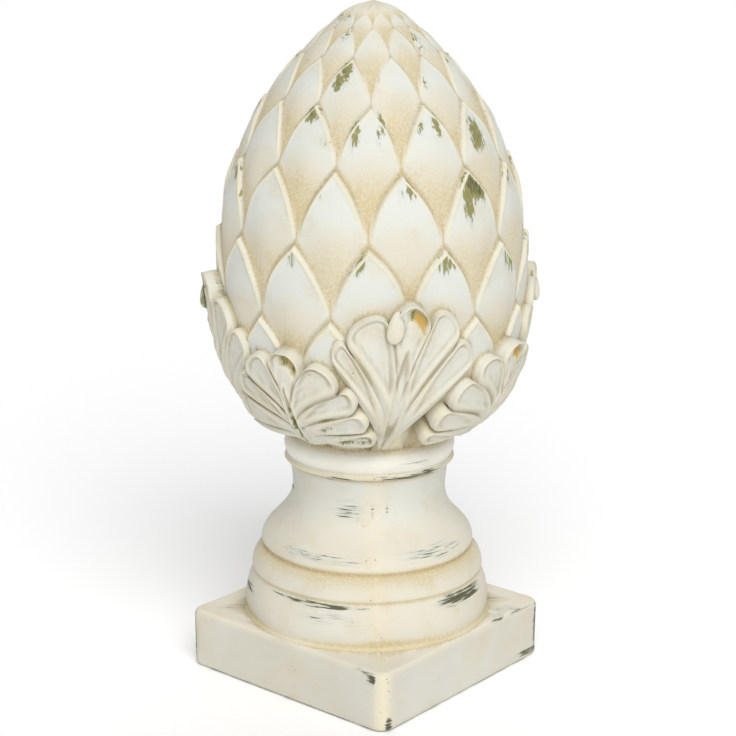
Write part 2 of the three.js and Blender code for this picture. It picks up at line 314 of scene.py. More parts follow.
def row_height(row):
    """Height of a row number, whole or not, on a smooth curve through the rows' own heights (Catmull-Rom)."""
    last = len(ROW_SHARES) - 1
    shares = np.concatenate([[-ROW_SHARES[1]], ROW_SHARES, [2.0 * ROW_SHARES[-1] - ROW_SHARES[-2]]])
    k = np.clip(np.floor(row), 0, last - 1).astype(int)
    t = row - k
    a, b, c, d = (shares[k + i] for i in range(4))
    curve = b + t * (c - a + t * (2 * a - 5 * b + 4 * c - d + t * (3 * (b - c) + d - a))) / 2.0
    return CONE_BASE + curve * CONE_HEIGHT


print("tips of the rows, mm:", row_height(np.arange(2, len(ROW_SHARES) - 1)).round(1))

# %% One scale's relief
SWELL_SHARE = 0.6
RIM_PLACE, RIM_WIDTH, RIM_LIFT = 0.945, 0.021, 0.24
DIMPLE_PLACE, DIMPLE_WIDTH, DIMPLE_DEPTH = 1.68, 0.16, 0.1
DROP_START = 0.962


def scale_relief(right, left):
    """How far a scale stands out, from 0 at its foot to about 1: it swells as a quarter sine from the foot,
    stays proud but for a shallow dimple under its tip, carries a lip just inside its two upper edges, and
    drops there."""

    def swell(t):
        return np.sin(np.pi / 2.0 * np.minimum(t / SWELL_SHARE, 1.0))

    def lip(t):
        return ridge(t, RIM_PLACE, RIM_WIDTH)

    edge = (1.0 - smoothstep(right, DROP_START, 1.0)) * (1.0 - smoothstep(left, DROP_START, 1.0))
    rim = np.maximum(lip(right) * smoothstep(left, 0.1, 0.5), lip(left) * smoothstep(right, 0.1, 0.5))
    dimple = DIMPLE_DEPTH * ridge(right + left, DIMPLE_PLACE, DIMPLE_WIDTH)
    return (swell(right) * swell(left) * (0.8 + 0.1 * (right + left)) - dimple + RIM_LIFT * rim) * edge


up_the_middle = np.linspace(0.0, 1.0, 6)
print("relief from foot to tip:", scale_relief(up_the_middle, up_the_middle).round(2))

# %% The net of scales
BELLY_STEPS, RIM_STEPS, RIM_FROM, BOW_POWER = 13, 7, 0.86, 1.3
SCALE_PLACES = np.concatenate(
    [np.linspace(0, RIM_FROM, BELLY_STEPS, endpoint=False), np.linspace(RIM_FROM, 1, RIM_STEPS + 1)]
)


def bow(t):
    """Sideways swing of a scale's edge, B t (1 - t) to the 1.3, which makes its outline a pointed arch."""
    return SCALE_BOW * t * (1.0 - t) ** BOW_POWER


def hand_carved(angle, z):
    """Shifts a net of places by up to a millimetre or so, since the scales were laid out by eye: slow waves
    round the cone, which fade towards the tip and the foot."""
    fade = within(z, CONE_BASE, CONE_BASE + 30.0, HEIGHT_MM - 25.0, HEIGHT_MM)
    aside = 0.009 * np.sin(3.0 * angle + z / 19.0) + 0.008 * np.sin(5.0 * angle - z / 13.0 + 2.0)
    up = 0.7 * np.sin(2.0 * angle + z / 23.0 + 1.0) + 0.5 * np.sin(7.0 * angle + z / 17.0)
    return angle + aside * fade, z + up * fade


print("points along a scale's side:", len(SCALE_PLACES))

# %% Places that the caster smoothed over
SEAM_ANGLE = np.radians(-45.0)
FETTLED, FETTLED_LEVEL, FETTLED_WIDTH, FETTLED_FROM, FETTLED_FADE = 0.88, 0.85, 7.0, 266.0, 8.0


def smoothed_over(angle, z):
    """Where the relief was smoothed away, from 0 to 1: on the tip, and along the mould's seam below it."""
    from_seam = np.abs(np.sin(angle - SEAM_ANGLE)) * cone_radius(z)
    on_seam = ridge(from_seam, 0.0, FETTLED_WIDTH) * smoothstep(z, FETTLED_FROM, FETTLED_FROM + FETTLED_FADE)
    return FETTLED * np.maximum(on_seam, 0.9 * smoothstep(z, HEIGHT_MM - 12.0, HEIGHT_MM - 5.0))


print("a scale at the girdle is", round(2.0 * np.pi * CONE_RADIUS / SCALES_AROUND, 1), "mm wide")

# %% All the scales
def scale_patches():
    """Every scale as a grid of points. Right and left count along the two slanting directions of the net. The
    angle follows their difference, and the row, which gives the height, follows their sum."""
    rows = np.arange(len(ROW_SHARES) - 2)
    row, k = np.meshgrid(rows, np.arange(SCALES_AROUND), indexing="ij")
    right0 = (row + row % 2) // 2 + k
    left0 = row - right0
    right, left = np.meshgrid(SCALE_PLACES, SCALE_PLACES, indexing="ij")
    right_bowed = right0[..., None, None] + right + bow(left)
    left_bowed = left0[..., None, None] + left + bow(right)
    angle = SCALE_TURN + (right_bowed - left_bowed) * np.pi / SCALES_AROUND
    z = row_height(right_bowed + left_bowed)
    angle, z = hand_carved(angle, z)
    relief = scale_relief(right, left)
    relief = relief + smoothed_over(angle, z) * (FETTLED_LEVEL - relief)
    points = on_cone(angle, z, SCALE_DEPTH_SHARE * cone_radius(z) * (relief - 1.0))
    return points, relief, np.broadcast_to((right + left) / 2.0, relief.shape)


print("rows, scales in a row:", scale_patches()[0].shape[:2])

# %% Faces
def grid_faces(columns, rows, start=0):
    """Quads of a grid of columns by rows points that is stored column by column."""
    i, j = np.meshgrid(np.arange(columns - 1), np.arange(rows - 1), indexing="ij")
    a = (start + i * rows + j).ravel()
    return np.stack([a, a + rows, a + rows + 1, a + 1], axis=-1)


def triangles(quads):
    """Splits quads into triangles."""
    quads = np.asarray(quads)
    return np.concatenate([quads[:, [0, 1, 2]], quads[:, [0, 2, 3]]])


def whole_faces(faces):
    """The triangles that have three different corners."""
    a, b, c = faces.T
    return faces[(a != b) & (b != c) & (c != a)]


WELD_MM = 0.001


def welded(points, faces):
    """Joins points that lie within a micrometre of each other, and drops triangles that have lost an edge."""
    keys = np.round(points / WELD_MM).astype(np.int64)
    _, first, index = np.unique(keys, axis=0, return_index=True, return_inverse=True)
    faces = index.ravel()[faces]
    return first, whole_faces(faces)


def open_edges(faces):
    """The directed edges of a triangle mesh that no other triangle runs along the other way."""
    edges = np.concatenate([faces[:, [0, 1]], faces[:, [1, 2]], faces[:, [2, 0]]])
    size = faces.max() + 1
    forward = edges[:, 0] * size + edges[:, 1]
    backward = edges[:, 1] * size + edges[:, 0]
    return edges[~np.isin(forward, backward)]


def fan(edges, apex):
    """Triangles from open edges to an apex, which may be one point or one for each edge."""
    return np.stack([edges[:, 1], edges[:, 0], np.broadcast_to(apex, len(edges))], axis=-1)


trial = triangles(grid_faces(3, 3))
print("a grid of 3 by 3 points:", len(trial), "triangles,", len(open_edges(trial)), "open edges")

# %% The cone
def cone_surface():
    """All the scales as one closed surface. The zigzag of the lowest row is filled down to a ring of points,
    one between each two scales, and the ring and the top zigzag close on a point of the axis each."""
    points, relief, along = scale_patches()
    size = len(SCALE_PLACES)
    count = points.shape[0] * points.shape[1]
    faces = np.concatenate([grid_faces(size, size, k * size * size) for k in range(count)])
    marks = {"along": along.ravel(), "relief": relief.ravel()}
    points = points.reshape(-1, 3)
    first, faces = welded(points, triangles(faces))
    points = points[first]
    marks = {name: values[first] for name, values in marks.items()}
    ring_angle = SCALE_TURN + (2 * np.arange(SCALES_AROUND) + 1) * np.pi / SCALES_AROUND
    ring = on_cone(ring_angle, np.full(SCALES_AROUND, CONE_BASE), -SCALE_DEPTH_SHARE * cone_radius(CONE_BASE))
    ring_start = len(points)
    foot = ring_start + SCALES_AROUND
    tip = foot + 1
    ends = [(0, 0, CONE_BASE + BAND_HEIGHT / 2), (0, 0, HEIGHT_MM)]
    edges = open_edges(faces)
    middle = points[edges].mean(axis=1)
    upper = middle[:, 2] > GIRDLE
    sector = np.floor((np.arctan2(middle[:, 1], middle[:, 0]) - SCALE_TURN) * SCALES_AROUND / (2 * np.pi))
    apex = np.where(upper, tip, ring_start + sector.astype(int) % SCALES_AROUND)
    faces = np.concatenate([faces, fan(edges, apex)])
    faces = np.concatenate([faces, fan(open_edges(faces), foot)])
    points = np.concatenate([points, ring, ends])
    marks = {name: np.concatenate([values, np.zeros(SCALES_AROUND + 2)]) for name, values in marks.items()}
    return points, faces, marks


cone_points, cone_faces, cone_marks = cone_surface()
print("cone:", len(cone_faces), "triangles, open edges:", len(open_edges(cone_faces)))

# %% [markdown]
# ## Leaves
#
# The collar has four tall leaves near the corners of the plinth and four low ones between them, each an
# acanthus leaf with a midrib, and petal-like lobes with raised rims. A leaf could be cut out of a sheet and
# bent over the cone. It is quicker and closer to the carving to walk the mesh along the leaf's own growth:
# columns leave the midrib one above the other and bend out to the lobes' tips, and rows follow the outline,
# so that notches, rims and flutes all fall on grid lines. The middle lobe curls away from the cone, and its
# right half is folded over at the top.

# %% The bed that the leaves lie on
LEAF_START, LEAF_ROOT = 8.0, 7.0
LEAF_TURN = np.radians(8.0)
LEAVES_IN_A_TIER = 4
BED_POINTS = 400

bed_z = CONE_BASE + LEAF_START + np.linspace(0.0, 1.0, BED_POINTS) * (GIRDLE - CONE_BASE)
bed_radius = cone_radius(bed_z)
bed_length = np.concatenate([[0.0], np.cumsum(np.hypot(np.diff(bed_z), np.diff(bed_radius)))])
print("the bed is", round(bed_length[-1], 1), "mm long")


def on_bed(angle, aside, along, stand):
    """Points that lie aside and along on the bed, in mm from the leaf's root, and stand off it."""
    along = np.clip(along, 0.0, bed_length[-1])
    radius, z = np.interp(along, bed_length, bed_radius), np.interp(along, bed_length, bed_z)
    return on_cone(angle + aside / radius, z, stand)


# %% The leaves' measures
# Lengths are in mm and angles in degrees. A leaf's reach falls from its full length in the middle to the
# shoulder at its sides. Its skin stands off the cone by root, stand and tip, and its columns leave the midrib
# along the feather share of its length. The lobes' edges and the columns across one lobe run from -1 to 1.
WIDE_LOBE = (
    -1.0, -0.94, -0.87, -0.79, -0.7, -0.6, -0.5, -0.4, -0.22, 0.0, 0.22, 0.4, 0.5, 0.6, 0.7, 0.79, 0.87, 0.94
)
NARROW_LOBE = (-1.0, -0.92, -0.82, -0.7, -0.54, -0.32, 0.0, 0.32, 0.54, 0.7, 0.82, 0.92)
TALL_LEAF = dict(
    length=81.0, spread=34.0, shoulder=0.8, taper=0.9, root=2.0, stand=3.2, tip=7.0, curl_lobes=0.7,
    feather=0.5, lobe_edges=(-1.0, -0.64, -0.21, 0.25, 0.62, 1.0), spear=3.6, gap=0.9, notch=0.14, tilt=5.0,
    aside=-5.0, across=WIDE_LOBE,
)
LOW_LEAF = dict(
    length=56.0, spread=80.0, shoulder=0.56, taper=1.6, root=3.0, stand=4.6, tip=6.8, curl_lobes=0.8,
    feather=0.55, lobe_edges=(-1.0, -0.8, -0.58, -0.36, -0.13, 0.13, 0.36, 0.58, 0.8, 1.0), spear=1.8,
    gap=1.3, notch=0.22, tilt=0.0, aside=0.0, across=NARROW_LOBE,
)
FOLD_PLACE, FOLD_WIDTH, FOLD_DEPTH = 5.4, 3.0, 3.0
OUTLINE_PLACE, OUTLINE_DROP, LEAST_STAND = 0.965, 0.55, 0.4
END_FROM = 0.88
LEAF_PLACES = np.concatenate(
    [np.linspace(0.0, END_FROM, 24, endpoint=False), 1.0 - (1.0 - END_FROM) * np.linspace(1, 0, 10) ** 1.5]
)


def lobe_columns(leaf):
    """The leaf's columns from left to right: each one's place on the leaf and across its lobe, both from -1
    to 1, its lobe's half width as a share of the spread, and the lobe's own number."""
    edges = np.array(leaf["lobe_edges"])
    lobes = len(edges) - 1
    lobe = np.append(np.repeat(np.arange(lobes), len(leaf["across"])), lobes - 1)
    across = np.append(np.tile(leaf["across"], lobes), 1.0)
    half = (edges[lobe + 1] - edges[lobe]) / 2.0
    return (edges[lobe] + edges[lobe + 1]) / 2.0 + half * across, across, half, lobe


print("columns of a tall and of a low leaf:", [len(lobe_columns(leaf)[0]) for leaf in (TALL_LEAF, LOW_LEAF)])

# %% A lobe's relief
LOBE_RIM, RIM_INSET, RIM_HALF = 0.7, 1.1, 0.65
INNER_RIM, INNER_INSET, INNER_HALF = 0.4, 3.5, 0.7
LOBE_HOLLOW, HOLLOW_INSET = 0.75, 3.0
EDGE_BLEND, GAP_HALF = 0.6, 0.6


def lobe_relief(across, share, width, end, depth, gap):
    """A petal: a flat hollow inside a thin raised rim, a fainter rim within it, and a gap to its neighbours.
    All of them follow the distance in mm inside the petal's edge, which is the smaller of the distances to
    its side and to its end, blended where the two are alike. They grow from the foot of the petal."""
    side = (1.0 - np.abs(across)) * width
    inside = -EDGE_BLEND * np.log(np.exp(-side / EDGE_BLEND) + np.exp(-end / EDGE_BLEND))
    grown = smoothstep(share, 0.08, 0.4)
    rim = LOBE_RIM * ridge(inside, RIM_INSET, RIM_HALF) * (0.35 + 0.65 * grown)
    inner_rim = INNER_RIM * ridge(inside, INNER_INSET, INNER_HALF) * grown
    hollow = LOBE_HOLLOW * depth * smoothstep(inside, RIM_INSET, HOLLOW_INSET) * grown
    gap = gap * ridge(side, 0.0, GAP_HALF) * (0.25 + 0.75 * smoothstep(share, 0.1, 0.5))
    return rim + inner_rim - hollow - gap


SPEAR_SHARE, SPEAR_HEIGHT, SPEAR_RIDGE = 0.76, 0.9, 0.75


def spear_relief(leaf, aside, along):
    """The midrib: a channel between two ridges that part above the root and meet again in a point."""
    up = np.clip(along / (SPEAR_SHARE * leaf["length"]), 0.0, 1.0)
    half = leaf["spear"] * (0.35 + 0.65 * np.sin(np.pi * up**1.3)) * np.sqrt(1.0 - up**6) + 0.01
    fade = 1.0 - smoothstep(up, 0.93, 1.0)
    ridges = SPEAR_HEIGHT * ridge(np.abs(aside), half, SPEAR_RIDGE)
    channel = SPEAR_HEIGHT * (1.0 - smoothstep(np.abs(aside), 0.4 * half, half))
    return (ridges - channel) * fade


print("across half a lobe:", lobe_relief(np.linspace(0.0, 1.0, 6), 0.8, 7.0, 12.0, 1.0, 0.9).round(2))

# %% A leaf drawn flat
def flat_leaf(leaf, seed):
    """How far the leaf's points lie aside and along, and a few values of each column. A column leaves the
    midrib at a height that falls with its distance from the middle, and bends out to the tip of its lobe
    along a quadratic Bezier curve."""
    chance = np.random.default_rng(seed)
    length, spread = leaf["length"], leaf["spread"]
    place, across, half, lobe = lobe_columns(leaf)
    lobes = lobe[-1] + 1
    sway = np.interp(place, leaf["lobe_edges"], chance.normal(0.0, 0.025, lobes + 1))
    stretch = 1.0 + chance.normal(0.0, 0.015, lobes)[lobe]
    depth = (1.0 + chance.normal(0.0, 0.2, lobes))[lobe]
    lean = chance.normal(0.0, 0.06, lobes)[lobe]
    shortening = (1.0 - leaf["shoulder"]) * np.abs(place) ** leaf["taper"]
    arch = np.sqrt(1.0 - np.abs(across) ** 2.2) ** 0.8 + lean * across * (1.0 - across**2)
    reach = length * np.minimum((1.0 - shortening) * stretch * (1.0 - leaf["notch"] * (1.0 - arch)), 1.0)
    towards = np.radians(spread * (place + sway))
    tip = np.stack([reach * np.sin(towards), reach * np.cos(towards)], axis=-1)
    spring = leaf["feather"] * length * (1.0 - np.abs(place)) ** 0.9
    strip = 1.2 * np.sqrt(np.abs(place)) * np.sign(place)
    start = np.stack([strip, spring], axis=-1)
    bend = start + (tip - start) * [0.22, 0.5]
    share = LEAF_PLACES[None, :, None]
    flat = (1 - share) ** 2 * start[:, None] + 2 * share * (1 - share) * bend[:, None]
    flat = flat + share**2 * tip[:, None]
    ribs = dict(place=place, across=across, half=half, depth=depth, reach=reach, spring=spring, strip=strip)
    return flat[..., 0], flat[..., 1], ribs


print("points of a tall leaf:", flat_leaf(TALL_LEAF, seed=0)[0].shape)

# %% How far a leaf stands off the cone
def leaf_stand(leaf, aside, along, ribs):
    """A root height that grows to the leaf's own, plus the lobes' relief, the midrib and the curl of the
    middle lobe, less a fold that crosses the right half of that lobe near its end. The fold, and the place
    across it, are returned too."""
    names = ("place", "across", "half", "depth", "reach", "spring")
    from_middle, across, half, depth, reach, spring = (ribs[name][:, None] for name in names)
    length, lobes = leaf["length"], len(leaf["lobe_edges"]) - 1
    share = LEAF_PLACES[None, :]
    out = np.hypot(aside, along)
    width = np.maximum(half * np.radians(leaf["spread"]) * out * (0.25 + 0.75 * share), 0.6)
    rise = leaf["root"] + (leaf["stand"] - leaf["root"]) * smoothstep(out / length, 0.0, 0.5)
    rise = rise * (1.0 - 0.3 * from_middle**2)
    middle = ridge(from_middle, 0.0, leaf["curl_lobes"] * 2.0 / lobes)
    curl = (leaf["tip"] - leaf["stand"]) * smoothstep(out / length, 0.5, 0.95) * middle
    end = (1.0 - share) * (reach - 0.8 * spring)
    half_lobe = 1.1 / lobes
    beside_spear = 1.0 - smoothstep(np.abs(from_middle), 0.8 * half_lobe, half_lobe)
    beside_spear = beside_spear * (1.0 - smoothstep(share, 0.5, 0.75))
    relief = lobe_relief(across, share, width, end, depth, leaf["gap"]) * (1.0 - 0.8 * beside_spear)
    relief = relief + spear_relief(leaf, aside, along)
    right_half = within(from_middle, -0.3 * half_lobe, 0.1 * half_lobe, 0.8 * half_lobe, half_lobe)
    fold = ridge(end, FOLD_PLACE, FOLD_WIDTH, power=4) * right_half
    turn_down = 1.0 - OUTLINE_DROP * smoothstep(share, OUTLINE_PLACE, 1.0) ** 2
    stand = np.maximum((rise + curl + relief - FOLD_DEPTH * fold) * turn_down, LEAST_STAND)
    return stand, fold, np.broadcast_to(from_middle / half_lobe, stand.shape)


trial = leaf_stand(TALL_LEAF, *flat_leaf(TALL_LEAF, seed=0))[0]
print("a tall leaf stands off by", round(trial.min(), 1), "to", round(trial.max(), 1), "mm")

# %% A leaf on the cone
def leaf_surface(leaf, angle, seed):
    """The flat leaf is tilted about its root and laid on the cone. A strip of midrib joins its two halves,
    and walls and a point inside the cone close the piece."""
    aside, along, ribs = flat_leaf(leaf, seed)
    stand, fold, across_fold = leaf_stand(leaf, aside, along, ribs)
    columns, rows = stand.shape
    middle_column, tilt = columns // 2, np.radians(leaf["tilt"])

    def laid(aside, along, stand):
        """Points on the bed, after the flat leaf is tilted about its root."""
        tilted = leaf["aside"] + aside * np.cos(tilt) + along * np.sin(tilt)
        return on_bed(angle, tilted, along * np.cos(tilt) - aside * np.sin(tilt), stand)

    skin = laid(aside, along, stand).reshape(-1, 3)
    left = np.arange(middle_column)
    middle_along = ribs["spring"][:middle_column]
    beside = spear_relief(leaf, ribs["strip"][:middle_column], middle_along)
    strip_stand = stand[:middle_column, 0] + spear_relief(leaf, 0.0, middle_along) - beside
    strip_points = laid(np.zeros(middle_column), middle_along, np.maximum(strip_stand, LEAST_STAND))
    strip_start = columns * rows
    row_ends = (left * rows, strip_start + left, (columns - 1 - left) * rows)
    row_ends = [np.append(side, middle_column * rows) for side in row_ends]
    ladder = [np.stack([a[:-1], b[:-1], b[1:], a[1:]], axis=-1) for a, b in (row_ends[:2], row_ends[1:])]
    faces = triangles(np.concatenate([grid_faces(columns, rows)] + ladder))
    index = np.arange(columns * rows).reshape(columns, rows)
    rim = np.concatenate([index[0], index[1:-1, -1], index[-1, ::-1], [strip_start]])
    beneath = laid(aside, along, np.full_like(stand, -LEAF_ROOT)).reshape(-1, 3)
    beneath = np.concatenate([beneath, laid(np.zeros(1), np.zeros(1), np.full(1, -LEAF_ROOT))])
    beneath = beneath[np.where(rim == strip_start, -1, rim)]
    lower = strip_start + middle_column + np.arange(len(rim))
    walls = triangles(np.stack([rim, np.roll(rim, -1), np.roll(lower, -1), lower], axis=-1))
    inner = on_cone(angle, np.interp(0.4 * leaf["length"], bed_length, bed_z), -4.0 * LEAF_ROOT)
    points = np.concatenate([skin, strip_points, beneath, [inner]])
    faces = whole_faces(np.concatenate([faces, walls]))
    faces = np.concatenate([faces, fan(open_edges(faces), len(points) - 1)])
    marks = {"leaf": np.ones(len(points)), "fold": fold, "across_fold": across_fold}
    for name in ("fold", "across_fold"):
        marks[name] = np.append(marks[name].ravel(), np.zeros(len(points) - columns * rows))
    return points, faces, marks


trial = leaf_surface(TALL_LEAF, angle=0.0, seed=0)[1]
print("a tall leaf:", len(trial), "triangles, open edges:", len(open_edges(trial)))

# %% The drooping tongue of a tall leaf
TONGUE_ASIDE, TONGUE_ALONG, TONGUE_STAND = -5.0, 69.0, 5.4
TONGUE_HALF = (3.5, 7.0, 2.2)
TONGUE_RINGS, TONGUE_AROUND = 22, 26


def carried_round(rings):
    """A closed surface from rings of points, an array of steps along by steps around, each end closed on its
    middle."""
    along, around = rings.shape[:2]
    points = np.concatenate([rings, rings[:, :1]], axis=1).transpose(1, 0, 2).reshape(-1, 3)
    first, faces = welded(points, triangles(grid_faces(around + 1, along)))
    points = points[first]
    edges = open_edges(faces)
    upper = points[edges].mean(axis=1)[:, 2] > rings[:, 0, 2].mean()
    faces = np.concatenate([faces, fan(edges, np.where(upper, len(points) + 1, len(points)))])
    return np.concatenate([points, rings[[0, -1]].mean(axis=1)]), faces, {}


def tongue_surface(angle):
    """The end of the middle rib hangs over the leaf as a small tongue: a teardrop, which is an ellipsoid
    whose width shrinks towards its upper end."""
    up = np.cos(np.linspace(np.pi, 0.0, TONGUE_RINGS + 2)[1:-1])[:, None]
    turn = (np.arange(TONGUE_AROUND) * 2.0 * np.pi / TONGUE_AROUND)[None, :]
    width = np.sqrt(1.0 - up**2) * (1.0 - 0.3 * up)
    aside = TONGUE_ASIDE + TONGUE_HALF[0] * width * np.cos(turn) + 0.8 * up
    along = TONGUE_ALONG + TONGUE_HALF[1] * up + 0.0 * turn
    stand = TONGUE_STAND - TONGUE_HALF[2] * width * np.sin(turn) - 0.8 * up
    points, faces, _ = carried_round(on_bed(angle, aside, along, stand))
    return points, faces, {"leaf": np.ones(len(points))}


print("a tongue:", len(tongue_surface(0.0)[1]), "triangles")

# %% The collar
TIERS = [(TALL_LEAF, np.pi / 4 - np.radians(1.5)), (LOW_LEAF, 0.0)]
leaves, tongues = [], []
for tier, (leaf, start) in enumerate(TIERS):
    for k in range(LEAVES_IN_A_TIER):
        leaf_angle = start + LEAF_TURN + 2.0 * np.pi * k / LEAVES_IN_A_TIER
        leaves.append(leaf_surface(leaf, leaf_angle, seed=10 * tier + k))
        if leaf is TALL_LEAF:
            tongues.append(tongue_surface(leaf_angle))
print("the collar:", sum(len(faces) for _, faces, _ in leaves + tongues), "triangles")

# %% [markdown]
# ## Pedestal and plinth
#
# On a plaster master the pedestal is turned on a wheel against a cut profile. A lathe or screw modifier would
# do the same, and so does a few lines of arithmetic: the profile is stepped along evenly, its corners are
# worn round by a moving average, and it is carried round the axis. The plinth is made the same way, with a
# rounded square as its path.

# %% Profiles
TURNED_STEPS = 168
PROFILE_STEP = 1.0
CORNER_WEAR = 0.75


def bezier(*controls, count=24):
    """Points of a Bezier curve of any degree: its control points are blended in pairs until one is left."""
    t = np.linspace(0.0, 1.0, count)[:, None]
    layer = [np.broadcast_to(np.asarray(c, float), (count, 2)) for c in controls]
    while len(layer) > 1:
        layer = [(1.0 - t) * a + t * b for a, b in zip(layer[:-1], layer[1:])]
    return layer[0]


def evenly(points, step):
    """Resamples a polyline at an even step along its length."""
    gaps = np.hypot(*np.diff(points, axis=0).T)
    points = points[np.concatenate([[True], gaps > 1e-9])]
    travelled = np.concatenate([[0.0], np.cumsum(np.hypot(*np.diff(points, axis=0).T))])
    places = np.linspace(0.0, travelled[-1], int(travelled[-1] / step) + 1)
    return np.stack([np.interp(places, travelled, points[:, i]) for i in (0, 1)], axis=-1)


def worn(points, step, radius):
    """Rounds the corners of an evenly stepped polyline: each point becomes a weighted mean of its neighbours,
    and the weights fall off like a bell."""
    reach = int(3 * radius / step)
    weights = ridge(np.arange(-reach, reach + 1) * step, 0.0, radius)
    weights = weights / weights.sum()
    padded = np.pad(points, ((reach, reach), (0, 0)), mode="edge")
    rounded = np.stack([np.convolve(padded[:, i], weights, mode="valid") for i in (0, 1)], axis=-1)
    rounded[[0, -1]] = points[[0, -1]]
    return rounded


trial = worn(evenly(np.array([(-9.0, 0.0), (0.0, 0.0), (0.0, 9.0)]), 0.5), 0.5, CORNER_WEAR)
print("a square corner is rounded back by", round(float(np.hypot(*trial.T).min()), 2), "mm")

# %% Pedestal
BEAD = 1.3


def pedestal_profile():
    """Foot, torus, ovolo, bell, neck and band from the plinth to the leaves, as radius and height."""
    bell_foot = BELL_BASE + GROOVE_DEPTH
    neck = BELL_BASE + 0.7 * BELL_HEIGHT
    band_low = BAND_RADIUS - GROOVE_DEPTH
    bead_foot, bead_top = (band_low - BEAD, BAND_BASE - BEAD), (band_low, BAND_BASE + BEAD)
    ovolo_top = (BELL_RADIUS - GROOVE_DEPTH, BELL_BASE - GROOVE_DEPTH / 2)
    torus_low = (FOOT_RADIUS - GROOVE_DEPTH / 2, TORUS_BASE)
    torus_swell = (TORUS_RADIUS + GROOVE_DEPTH, TORUS_BASE + 0.45 * TORUS_HEIGHT)
    return np.concatenate(
        [
            [(FOOT_RADIUS, PLINTH_HEIGHT / 2), (FOOT_RADIUS, TORUS_BASE - GROOVE_DEPTH / 2)],
            bezier(torus_low, torus_swell, (OVOLO_RADIUS - GROOVE_DEPTH / 2, OVOLO_BASE)),
            [(OVOLO_RADIUS - GROOVE_DEPTH / 2, OVOLO_BASE + GROOVE_DEPTH / 4)],
            bezier(
                (OVOLO_RADIUS + GROOVE_DEPTH / 4, OVOLO_BASE + GROOVE_DEPTH / 2),
                (OVOLO_RADIUS, OVOLO_BASE + 0.7 * OVOLO_HEIGHT),
                ovolo_top,
            ),
            [(BELL_RADIUS - GROOVE_DEPTH, BELL_BASE)],
            bezier(
                (BELL_RADIUS, bell_foot),
                (BELL_RADIUS, bell_foot + 0.24 * BELL_HEIGHT),
                (NECK_RADIUS, neck - 0.4 * BELL_HEIGHT),
                (NECK_RADIUS, neck),
            ),
            bezier((NECK_RADIUS, neck), (NECK_RADIUS, BAND_BASE - 0.2 * BELL_HEIGHT), bead_foot),
            bezier((band_low, BAND_BASE - BEAD), (BAND_RADIUS + BEAD, BAND_BASE), bead_top),
            bezier(
                (band_low - 0.6, BAND_BASE + 1.3 * BEAD),
                (BAND_RADIUS + GROOVE_DEPTH, BAND_BASE + 0.6 * BAND_HEIGHT),
                (band_low, CONE_BASE),
            ),
            [(NECK_RADIUS - GROOVE_DEPTH, CONE_BASE + BAND_HEIGHT)],
        ]
    )


def pedestal_surface():
    """The worn profile turned round the axis."""
    profile = worn(evenly(pedestal_profile(), PROFILE_STEP / 2), PROFILE_STEP / 2, CORNER_WEAR)[::2]
    angle = np.arange(TURNED_STEPS) * 2.0 * np.pi / TURNED_STEPS
    radius, z = profile[:, :1], profile[:, 1:]
    return carried_round(np.stack([radius * np.cos(angle), radius * np.sin(angle), z + 0.0 * angle], axis=-1))


pedestal = pedestal_surface()
print("pedestal:", len(pedestal[1]), "triangles")

# %% Plinth
PLINTH_SIDE_STEPS, PLINTH_CORNER_STEPS = 26, 9


def rounded_square(half, corner):
    """A square with quarter-circle corners, walked round once from the middle of the +X side."""
    side = np.linspace(-1.0, 1.0, PLINTH_SIDE_STEPS, endpoint=False)[:, None] * (half - corner)
    edge = np.concatenate([np.full_like(side, half), side], axis=1)
    turn = np.linspace(0.0, np.pi / 2.0, PLINTH_CORNER_STEPS, endpoint=False)[:, None]
    arc = half - corner + corner * np.concatenate([np.cos(turn), np.sin(turn)], axis=1)
    quarter = np.concatenate([edge, arc])
    quarters = [quarter]
    for _ in range(3):
        quarters.append(quarters[-1] @ np.array([[0.0, 1.0], [-1.0, 0.0]]))
    return np.concatenate(quarters)


def plinth_surface():
    """Rounded squares up the side of the plinth, drawn in along a quarter circle at both arrises, and on to
    the middle of its top and underside."""
    half = PLINTH_SIDE / 2.0
    turn = np.linspace(0.0, np.pi / 2.0, 6)
    inset = PLINTH_ARRIS * (1.0 - np.sin(turn))
    lift = PLINTH_ARRIS * (1.0 - np.cos(turn))
    inwards = np.array([0.25, 0.5, 0.7, 0.84, 0.93]) * half
    side_z = np.linspace(PLINTH_ARRIS, PLINTH_HEIGHT - PLINTH_ARRIS, 14)[1:-1]
    top = np.full(len(inwards), PLINTH_HEIGHT)
    heights = np.concatenate([0.0 * top, lift, side_z, PLINTH_HEIGHT - lift[::-1], top])
    insets = [half - inwards, inset, 0.0 * side_z, inset[::-1], (half - inwards)[::-1]]
    rings = []
    for drawn_in, z in zip(np.concatenate(insets), heights):
        outline = rounded_square(half - drawn_in, max(PLINTH_CORNER - drawn_in, 0.3 * PLINTH_CORNER))
        rings.append(np.column_stack([outline, np.full(len(outline), z)]))
    return carried_round(np.array(rings))


plinth = plinth_surface()
print("plinth:", len(plinth[1]), "triangles")

# %% [markdown]
# ## One body
#
# The slip cast is a single skin, so the pieces are joined with a Boolean union. Its manifold solver is quick
# and exact, and it carries the marks that say where on a scale or a leaf each point lies. Points that the
# union makes new have no marks, so they take the mean of their neighbours'.

# %% Union
MARKS = ("along", "relief", "leaf", "fold", "across_fold", "known")


def marked_surface(name, shape):
    """A surface object with one float attribute for each mark, which is zero where the shape has none."""
    points, faces, marks = shape
    piece = surface(name, points, faces)
    marks = {**marks, "known": np.ones(len(points))}
    for mark in MARKS:
        values = np.asarray(marks.get(mark, np.zeros(len(points))), dtype=np.float32)
        piece.data.attributes.new(mark, "FLOAT", "POINT").data.foreach_set("value", values)
    return piece


